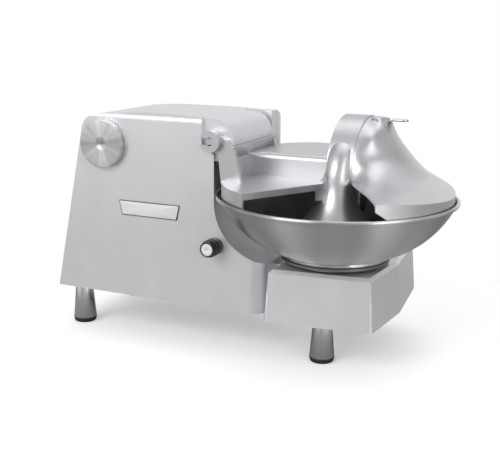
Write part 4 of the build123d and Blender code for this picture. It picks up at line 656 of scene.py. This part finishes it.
@dataclass
class Studio:
    """Pale floor, soft lamps, a banded sky and the camera."""

    azimuth: float = 24.8
    elevation: float = 13.1
    roll: float = 0.4
    distance: float = 1.7834
    target: Point = (BOWL_X - 0.1803, 0.0, 0.2407)
    focal_pixels: float = 896.4
    picture_width: float = 500.0
    sensor: float = 36.0
    clip_end: float = 100.0
    floor_half: float = 3.0
    floor_seen: Point = (0.96, 0.96, 0.96)
    floor_reflected: Point = (0.47, 0.47, 0.47)
    floor_lift: float = 0.3
    floor_roughness: float = 0.9
    floor_specular: float = 0.1
    fade_start: float = 0.25
    fade_end: float = 0.95
    # A large key in front, a fill from the right, a top light and a narrow strip for the bowl's side.
    lamps: tuple[Lamp, ...] = (
        Lamp("KeyLamp", (-1.2, -3.2, 2.4), (2.4, 1.6), 62.0),
        Lamp("FillLamp", (3.0, -1.2, 1.5), (1.2, 2.4), 14.0),
        Lamp("TopLamp", (0.2, 0.9, 3.2), (3.0, 2.0), 20.0),
        Lamp("StripLamp", (1.75, -1.15, 0.32), (0.16, 0.5), 2.5, (BOWL_X, 0.0, 0.25)),
    )
    sky_low: float = -0.4
    sky_strength: float = 1.08
    # Stops of the sky's ramp from sky_low to straight up, the two ends first: (place, colour).
    sky: tuple[tuple[float, Point], ...] = (
        (0.0, (0.26, 0.26, 0.262)), (1.0, (0.60, 0.61, 0.63)), (0.12, (0.36, 0.36, 0.3654)),
        (0.225, (0.97, 0.97, 0.98455)), (0.3, WHITE), (0.45, (0.94, 0.94, 0.9541)),
        (0.64, (0.68, 0.68, 0.6902)),
    )
    # Bright and dim bands round the horizon: their middle, and the lobes that lobe_sum adds to it.
    band_level: float = 0.72
    bands: tuple[Point, ...] = ((3.0, 0.5, 0.20), (7.0, 0.0, 0.08))

    def build(self) -> None:
        """Sets up the whole studio."""
        scene = bpy.context.scene
        scene.view_settings.view_transform = "Standard"
        self._camera(scene)
        self._floor()
        for lamp in self.lamps:
            lamp.build(scene)
        self._world(scene)

    def _camera(self, scene: bpy.types.Scene) -> None:
        """Sets a camera at the given angles, looking at the target from the given distance.

        Formula: place = target + distance * (sin a cos e, -cos a cos e, sin e), with a the azimuth and
        e the elevation, then turned about its own line of sight by the roll.

        Args:
            scene: The scene that it shows.
        """
        a, e, r = (math.radians(v) for v in (self.azimuth, self.elevation, self.roll))
        back = np.array([math.sin(a) * math.cos(e), -math.cos(a) * math.cos(e), math.sin(e)])
        level = np.array([math.cos(a), math.sin(a), 0.0])
        upward = np.cross(back, level)
        right = level * math.cos(r) + upward * math.sin(r)
        top = -level * math.sin(r) + upward * math.cos(r)
        data = bpy.data.cameras.new("Camera")
        data.sensor_fit = "HORIZONTAL"
        data.sensor_width = self.sensor
        data.lens = self.focal_pixels / self.picture_width * self.sensor
        data.clip_end = self.clip_end
        camera = bpy.data.objects.new("Camera", data)
        place = np.eye(4)
        place[:3, 0], place[:3, 1], place[:3, 2] = right, top, back
        place[:3, 3] = np.asarray(self.target) + back * self.distance
        camera.matrix_world = Matrix(place.tolist())
        scene.collection.objects.link(camera)
        scene.camera = camera

    def _floor(self) -> None:
        """A flat pale floor, clear from below, that thins out into the plain background.

        The camera sees it near white; everything else gets a greyer reflection from it.
        """
        half = self.floor_half
        corners = np.array(
            [[-half, -half, 0.0], [half, -half, 0.0], [half, half, 0.0], [-half, half, 0.0]])
        floor = make_object("Floor", corners, np.array([[0, 1, 2, 3]]), smooth=False)
        material = bpy.data.materials.new("PaleFloor")
        material.use_nodes = True
        tree = material.node_tree
        shader = tree.nodes["Principled BSDF"]
        shader.inputs["Roughness"].default_value = self.floor_roughness
        shader.inputs["Specular IOR Level"].default_value = self.floor_specular
        path = tree.nodes.new("ShaderNodeLightPath")
        paint = colour_mix(tree, path.outputs["Is Camera Ray"], self.floor_reflected, self.floor_seen)
        tree.links.new(paint, shader.inputs["Base Color"])
        tree.links.new(path.outputs["Is Camera Ray"], shader.inputs["Emission Color"])
        shader.inputs["Emission Strength"].default_value = self.floor_lift
        place = tree.nodes.new("ShaderNodeTexCoord")
        reach = vector_node(tree, "LENGTH", place.outputs["Object"])
        fade = tree.nodes.new("ShaderNodeMapRange")
        fade.interpolation_type = "SMOOTHSTEP"
        fade.inputs["From Min"].default_value = self.fade_start
        fade.inputs["From Max"].default_value = self.fade_end
        fade.inputs["To Min"].default_value = 1.0
        fade.inputs["To Max"].default_value = 0.0
        tree.links.new(reach.outputs["Value"], fade.inputs["Value"])
        side = tree.nodes.new("ShaderNodeNewGeometry")
        from_above = math_node(tree, "SUBTRACT", 1.0, side.outputs["Backfacing"])
        seen = math_node(tree, "MULTIPLY", fade.outputs["Result"], from_above)
        tree.links.new(seen, shader.inputs["Alpha"])
        floor.data.materials.append(material)

    def _world(self, scene: bpy.types.Scene) -> None:
        """Makes the background white for the camera and a soft banded sky for everything else.

        The sky is dark well below the horizon, brightest close to it, and greyer overhead.

        Args:
            scene: The scene that it surrounds.
        """
        world = bpy.data.worlds.new("Studio")
        world.use_nodes = True
        tree = world.node_tree
        sky = tree.nodes["Background"]
        place = tree.nodes.new("ShaderNodeTexCoord")
        parts = tree.nodes.new("ShaderNodeSeparateXYZ")
        tree.links.new(place.outputs["Generated"], parts.inputs["Vector"])
        ramp = tree.nodes.new("ShaderNodeValToRGB")
        stops = ramp.color_ramp.elements
        for index, (place_z, colour) in enumerate(self.sky):
            stop = stops[index] if index in (0, 1) else stops.new(place_z)
            stop.position, stop.color = place_z, (*colour, 1.0)
        height = tree.nodes.new("ShaderNodeMapRange")
        height.inputs["From Min"].default_value = self.sky_low
        tree.links.new(parts.outputs["Z"], height.inputs["Value"])
        tree.links.new(height.outputs["Result"], ramp.inputs["Fac"])
        bearing = math_node(tree, "ARCTAN2", parts.outputs["X"], parts.outputs["Y"])
        bands = lobe_sum(tree, bearing, self.band_level, self.bands)
        tree.links.new(colour_mix(tree, bands, BLACK, ramp.outputs["Color"]), sky.inputs["Color"])
        sky.inputs["Strength"].default_value = self.sky_strength
        white = tree.nodes.new("ShaderNodeBackground")
        white.inputs["Color"].default_value = (*WHITE, 1.0)
        path = tree.nodes.new("ShaderNodeLightPath")
        mix = tree.nodes.new("ShaderNodeMixShader")
        tree.links.new(path.outputs["Is Camera Ray"], mix.inputs["Fac"])
        tree.links.new(sky.outputs["Background"], mix.inputs[1])
        tree.links.new(white.outputs["Background"], mix.inputs[2])
        tree.links.new(mix.outputs["Shader"], tree.nodes["World Output"].inputs["Surface"])
        scene.world = world


# ---------------------------------------------------------------------------------- bowl
@dataclass
class Bowl:
    """The spun bowl with its rolled rim, centre post and foot ring."""

    rim_radius: float = 0.2286
    bead: float = 0.0035
    lip_inset: float = 1.75  # in radii of the bead
    wall: float = 0.002
    arc: float = 0.190
    flat: float = 0.050
    floor_z: float = 0.200
    foot_ring: float = 0.104
    foot_wall: float = 0.007
    foot_low_z: float = 0.2016
    foot_chamfer: float = 0.001
    foot_overlap: float = 0.001
    wall_rows: int = 60
    turns: int = 256
    # The centre post's two sides: rows of (radius, height).
    post: tuple[Pair, ...] = (
        (0.040, 0.2025), (0.0362, 0.2065), (0.034, 0.2115), (0.0215, 0.274), (0.019, 0.2795),
        (0.0155, 0.2828), (0.011, 0.284), (0.0004, 0.2842),
    )
    inner_post: tuple[Pair, ...] = (
        (0.0004, 0.282), (0.011, 0.2819), (0.0145, 0.280), (0.019, 0.274), (0.032, 0.210),
        (0.038, 0.2012), (0.042, 0.2),
    )

    def _wall(self, radius: np.ndarray, inside: bool) -> np.ndarray:
        """Works out the height of the dished wall.

        Formula: height = floor_z + arc - sqrt(section^2 - (radius - flat)^2), where the section is the
        arc's radius, less the wall on the inside.

        Args:
            radius: Distances from the bowl's axis.
            inside: Whether the height is that of the inner side.

        Returns:
            One height for each distance.
        """
        section = self.arc - (self.wall if inside else 0.0)
        return self.floor_z + self.arc - np.sqrt(section**2 - (radius - self.flat) ** 2)

    def build(self, book: FinishBook) -> list[bpy.types.Object]:
        """Builds the bowl as one closed turned sheet with a rolled rim, and its foot ring.

        Args:
            book: The finishes.

        Returns:
            The pieces made.
        """
        lip = self.rim_radius - self.lip_inset * self.bead
        radius = np.sqrt(np.linspace(self.flat**2, lip**2, self.wall_rows))
        under = np.stack([radius, self._wall(radius, False)], axis=1)
        over = np.stack([radius[::-1], self._wall(radius[::-1], True)], axis=1)
        middle_z = (under[-1, 1] + over[0, 1]) / 2
        bead = arc_points((self.rim_radius - self.bead, middle_z), self.bead, -150.0, 150.0, count=20)
        outline = np.concatenate([under, bead, over, self.post, self.inner_post])
        grid = turned_grid(outline, BOWL_CENTRE, Axis.Z, self.turns)
        bowl = make_object("bowl_spun", grid, grid_faces(len(outline), self.turns, True, True)[:, ::-1])
        book.dress(bowl, "stainless")
        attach(bowl, "bowl_unit")
        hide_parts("bowl")
        top = float(self._wall(np.array([self.foot_ring]), False)[0]) + self.foot_overlap
        inner, low = self.foot_ring - self.foot_wall, self.foot_low_z
        ring = [(inner, low), (self.foot_ring - self.foot_chamfer, low),
                (self.foot_ring, low + self.foot_chamfer), (self.foot_ring, top), (inner, top)]
        foot = turned_piece("bowl_foot_ring", ring, BOWL_CENTRE, Axis.Z, self.turns)
        book.dress(foot, "stainless")
        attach(foot, "bowl_unit")
        return [bowl, foot]


# ---------------------------------------------------------------------------------- plates
def prism_grid(outline: np.ndarray, levels: list[Pair], normal: np.ndarray) -> np.ndarray:
    """Copies a closed outline, each copy moved along a direction and drawn in towards its middle.

    Formula: point(i, j) = middle + arm(j) * (1 - inset(i) / |arm(j)|) + normal * rise(i), where
    arm(j) = outline(j) - middle.

    Args:
        outline: Points of the closed outline, shape (n, 3).
        levels: Rows of (rise, inset).
        normal: Unit direction of the rise.

    Returns:
        Array of shape (levels, n, 3).
    """
    middle = outline.mean(axis=0)
    arm = outline - middle
    reach = np.linalg.norm(arm, axis=1, keepdims=True)
    shares = [np.maximum(1.0 - inset / reach, PINHOLE) for _, inset in levels]
    return np.stack([middle + arm * share + normal * rise for share, (rise, _) in zip(shares, levels)])


def plate_piece(
    name: str, outline: np.ndarray, normal: Point, thickness: float, round_off: float, steps: int = 5
) -> bpy.types.Object:
    """Makes a flat plate with rounded edges, whose faces are closed but for a pinhole in the middle.

    Formula: the edges' levels are (r - r cos t, r - r sin t) in rise and inset, t from 0 to 90 degrees.

    Args:
        name: The piece's name.
        outline: Closed outline in the plane of the lower face, anticlockwise seen against the normal.
        normal: Direction of the thickness.
        thickness: Height of the plate.
        round_off: Radius of its edges.
        steps: Levels of each rounded edge.

    Returns:
        The object.
    """
    turn = np.radians(np.linspace(0.0, 90.0, steps))
    low = [(round_off * (1 - math.cos(t)), round_off * (1 - math.sin(t))) for t in turn]
    high = [(thickness - rise, inset) for rise, inset in reversed(low)]
    levels = [(0.0, TO_THE_MIDDLE), *low, *high, (thickness, TO_THE_MIDDLE)]
    grid = prism_grid(outline, levels, np.asarray(normal, dtype=float))
    return make_object(name, grid, grid_faces(len(levels), len(outline), False, True))


def capsule_outline(
    start: Point, end: Point, side: Point, half: float, steps: int = 16, runs: int = 7
) -> np.ndarray:
    """Draws a strip with one straight and one half-round end.

    Formula: the round end is centre + half * (cos t * along + sin t * side), t from -90 to 90 degrees.

    Args:
        start: Middle of the straight end.
        end: Tip of the round end.
        side: Unit direction across the strip.
        half: Half its width.
        steps: Points of the round end.
        runs: Points of each straight stretch, with its ends.

    Returns:
        Closed outline, shape (n, 3).
    """
    first, last, across = (np.asarray(v, dtype=float) for v in (start, end, side))
    along = (last - first) / np.linalg.norm(last - first)
    centre = last - along * half
    turn = np.linspace(-math.pi / 2, math.pi / 2, steps)[:, None]
    tip = centre + half * (np.cos(turn) * along + np.sin(turn) * across)
    run = np.linspace(0.0, 1.0, runs)[1:-1, None]
    lower = first - across * half
    upper = first + across * half
    down = upper + (lower - upper) * run
    out = lower + (tip[0] - lower) * run
    back = tip[-1] + (upper - tip[-1]) * run
    return np.concatenate([[lower], out, tip, back, [upper], down])


# ---------------------------------------------------------------------------------- front fittings
@dataclass
class HubPlug:
    """The round plug over the attachment hub: flat turned face, rounded edge, register behind."""

    centre: Point = HUB_CENTRE
    radius: float = 0.0485
    thickness: float = 0.014
    edge_round: float = 0.0016
    back_chamfer: Pair = (0.0008, 0.0012)
    face_rings: Pair = (0.015, 0.030)
    register: float = 0.0299
    register_depth: float = 0.012
    register_chamfer: float = 0.001
    turns: int = 160

    def build(self, book: FinishBook) -> list[bpy.types.Object]:
        """Builds the plug as one turned solid.

        Args:
            book: The finishes.

        Returns:
            The pieces made.
        """
        face, tail = PANEL_Y - self.thickness, PANEL_Y + self.register_depth
        middle = (self.radius - self.edge_round, face + self.edge_round)
        edge = arc_points(middle, self.edge_round, -90.0, 0.0, count=7)
        inset, rise = self.back_chamfer
        outline = [(AXIS_HOLE, face), *((ring, face) for ring in self.face_rings), *edge,
                   (self.radius, PANEL_Y - rise), (self.radius - inset, PANEL_Y),
                   (self.register, PANEL_Y), (self.register, tail - self.register_chamfer),
                   (self.register - self.register_chamfer, tail), (AXIS_HOLE, tail)]
        plug = turned_piece("plug_turned", outline, self.centre, Axis.Y, self.turns)
        book.dress(plug, "polished_face")
        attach(plug, "plug")
        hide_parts("hub_plug")
        return [plug]


@dataclass
class Switch:
    """The push-pull switch's black knob with its white face disc."""

    centre: Point = (BOWL_X - 0.212, 0.0, 0.214)
    knob_radius: float = 0.015
    knob_reach: float = 0.036
    knob_stand: float = 0.0154
    edge_round: float = 0.0016
    recess: float = 0.0012
    recess_gap: float = 0.0003
    stem_radius: float = 0.008
    stem_depth: float = 0.015
    face_disc: float = 0.0118
    turns: int = 96
    # The grip's swell: rows of (radius over the knob's, distance in front of its back).
    grip: tuple[Pair, ...] = (
        (0.0, 0.0128), (0.0018, 0.0116), (0.0019, 0.0046), (0.0, 0.0036), (-0.0006, 0.0),
    )
    # The disc's edge: rows of (radius over the disc's, distance behind the knob's face).
    disc_edge: tuple[Pair, ...] = ((-0.0006, 0.0001), (-0.0001, 0.0005), (0.0, 0.0011))

    def build(self, book: FinishBook) -> list[bpy.types.Object]:
        """Builds the knob with its stem, and its white disc.

        Args:
            book: The finishes.

        Returns:
            The pieces made.
        """
        face, back = PANEL_Y - self.knob_reach, PANEL_Y - self.knob_stand
        sunk, tail = face + self.recess, PANEL_Y + self.stem_depth
        middle = (self.knob_radius - self.edge_round, face + self.edge_round)
        rim = arc_points(middle, self.edge_round, -100.0, 0.0, count=7)
        outline = [(AXIS_HOLE, sunk), (self.face_disc + self.recess_gap, sunk), *rim,
                   *((self.knob_radius + swell, back - ahead) for swell, ahead in self.grip),
                   (self.stem_radius, back), (self.stem_radius, tail), (AXIS_HOLE, tail)]
        knob = turned_piece("knob_moulded", outline, self.centre, Axis.Y, self.turns)
        book.dress(knob, "black_plastic")
        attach(knob, "knob")
        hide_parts("switch_knob")
        edge = [(self.face_disc + swell, face + behind) for swell, behind in self.disc_edge]
        disc = [(AXIS_HOLE, edge[0][1]), *edge, (AXIS_HOLE, edge[-1][1])]
        cap = turned_piece("knob_face", disc, self.centre, Axis.Y, self.turns)
        book.dress(cap, "white_plastic")
        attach(cap, "knob")
        return [knob, cap]


@dataclass
class Badge:
    """The bare plate on the front panel: dark edged, white faced."""

    centre: Pair = (BOWL_X - 0.358, 0.2705)
    top_width: float = 0.138
    bottom_width: float = 0.125
    height: float = 0.030
    thickness: float = 0.002
    frame: float = 0.0016
    corner: float = 0.0022
    corner_points: int = 6
    side_points: int = 14
    side_share: float = 0.97  # of each side, so that its points stay clear of the next corner
    edge_thickness: float = 0.0016
    edge_round: float = 0.0003
    face_thickness: float = 0.0006
    face_round: float = 0.0002

    def _outline(self, inset: float, place_y: float) -> np.ndarray:
        """Draws the four-sided outline with softened corners.

        Formula: each corner is the curve (1 - t)^2 * start + 2 t (1 - t) * corner + t^2 * end.

        Args:
            inset: How far the sides are drawn in.
            place_y: The outline's plane.

        Returns:
            Closed outline, shape (n, 3).
        """
        x, z = self.centre
        top, low, half = (v / 2 - inset for v in (self.top_width, self.bottom_width, self.height))
        corners = np.array(
            [(x - top, z + half), (x - low, z - half), (x + low, z - half), (x + top, z + half)])
        turn = np.linspace(0.0, 1.0, self.corner_points)[:, None]
        run = np.linspace(0.0, 1.0, self.side_points)[1:-1, None]
        stretches = []
        beside = (np.roll(corners, 1, axis=0), np.roll(corners, -1, axis=0))
        for corner, last, following in zip(corners, *beside):
            start = corner + (last - corner) / np.linalg.norm(last - corner) * self.corner
            end = corner + (following - corner) / np.linalg.norm(following - corner) * self.corner
            stretches.append((1 - turn) ** 2 * start + 2 * turn * (1 - turn) * corner + turn**2 * end)
            stretches.append(end + (following - end) * run * self.side_share)
        flat = np.concatenate(stretches)
        return np.stack([flat[:, 0], np.full(len(flat), place_y), flat[:, 1]], axis=1)

    def build(self, book: FinishBook) -> list[bpy.types.Object]:
        """Builds the dark edged plate and its white face.

        Args:
            book: The finishes.

        Returns:
            The pieces made.
        """
        forward = (0.0, -1.0, 0.0)
        whole = self._outline(0.0, PANEL_Y)
        under = plate_piece("badge_edge", whole, forward, self.edge_thickness, self.edge_round)
        book.dress(under, "black_plastic")
        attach(under, "frame")
        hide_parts("badge_plate")
        inner = self._outline(self.frame, PANEL_Y - self.thickness + self.face_thickness)
        over = plate_piece("badge_face", inner, forward, self.face_thickness, self.face_round)
        book.dress(over, "plate_white")
        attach(over, "frame")
        return [under, over]


# ---------------------------------------------------------------------------------- legs
@dataclass
class Legs:
    """Four spun stainless legs on rubber tips."""

    places: tuple[Pair, ...] = ((-0.552, -0.044), (-0.552, 0.165), (-0.006, -0.044), (-0.006, 0.165))
    top_radius: float = 0.017
    top_flare: Pair = (0.0004, 0.0015)
    foot_radius: float = 0.024
    foot_height: float = 0.009
    foot_round: float = 0.0012
    stud_radius: float = 0.005
    stud_top: float = 0.103
    turns: int = 96
    # The tip's outline: rows of (radius over the foot's, height).
    tip_edge: tuple[Pair, ...] = ((-0.0028, 0.0), (-0.0014, 0.0012), (0.0004, 0.0078), (-0.0002, 0.009))

    def build(self, book: FinishBook) -> list[bpy.types.Object]:
        """Builds the legs as one piece of four turned solids, and the tips likewise.

        Args:
            book: The finishes.

        Returns:
            The pieces made.
        """
        low = self.foot_height
        middle = (self.foot_radius - self.foot_round, low + self.foot_round)
        edge = arc_points(middle, self.foot_round, -90.0, 0.0, count=5)
        flare, drop = self.top_flare
        steel = [(AXIS_HOLE, low), *edge, (self.top_radius + flare, LEG_TOP_Z - drop),
                 (self.top_radius, LEG_TOP_Z), (self.stud_radius, LEG_TOP_Z),
                 (self.stud_radius, self.stud_top), (AXIS_HOLE, self.stud_top)]
        tip = [(AXIS_HOLE, 0.0), *((self.foot_radius + swell, z) for swell, z in self.tip_edge),
               (AXIS_HOLE, low)]
        pieces = []
        for name, outline, slot, node in (("legs_spun", steel, "polished", "legs"),
                                          ("feet_moulded", tip, "black_rubber", "rubber_feet")):
            grids = [turned_grid(np.asarray(outline), (BOWL_X + x, y, 0.0), Axis.Z, self.turns)
                     for x, y in self.places]
            one = grid_faces(len(outline), self.turns, True, True)[:, ::-1]
            size = len(outline) * self.turns
            faces = np.concatenate([one + size * k for k in range(len(grids))])
            piece = make_object(name, np.concatenate([g.reshape(-1, 3) for g in grids]), faces)
            book.dress(piece, slot)
            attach(piece, "frame")
            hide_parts(node)
            pieces.append(piece)
        return pieces


# ---------------------------------------------------------------------------------- lift tab
@dataclass
class LiftTab:
    """The flat tab that lifts the bowl cover: its place, its size and how far it is let in."""

    x: float = BOWL_X + 0.0666
    z: float = 0.449
    length: float = 0.035
    half: float = 0.010
    thickness: float = 0.004
    edge_round: float = 0.0012
    let_in: float = 0.0012

    def build(self, book: FinishBook) -> list[bpy.types.Object]:
        """Builds the lift tab as a plate with rounded edges.

        Args:
            book: The finishes.

        Returns:
            The pieces made.
        """
        start = (self.x - self.let_in, SHAFT_Y, self.z)
        end = (self.x + self.length, SHAFT_Y, self.z)
        outline = capsule_outline(start, end, (0.0, 1.0, 0.0), self.half)
        tab = plate_piece("tab_pressed", outline, (0.0, 0.0, 1.0), self.thickness, self.edge_round)
        book.dress(tab, "polished")
        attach(tab, "cover")
        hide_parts("lift_tab")
        return [tab]


def dress_nodes(frame: dict, book: FinishBook) -> None:
    """Gives every carried-over node the finish of its slot."""
    for part in frame["record"]["subparts"]:
        book.dress(frame["nodes"][part["node"]], part["material_slot"])


def main() -> None:
    """Builds the studio and every sub-assembly in order."""
    logging.basicConfig(level=logging.INFO, format="%(message)s")
    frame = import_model()
    Studio().build()
    book = FinishBook()
    dress_nodes(frame, book)
    for assembly in (Bowl(), HubPlug(), Switch(), Badge(), Legs(), LiftTab()):
        for piece in assembly.build(book):
            LOG.info("built %s", piece.name)


if __name__ == "__main__":
    main()
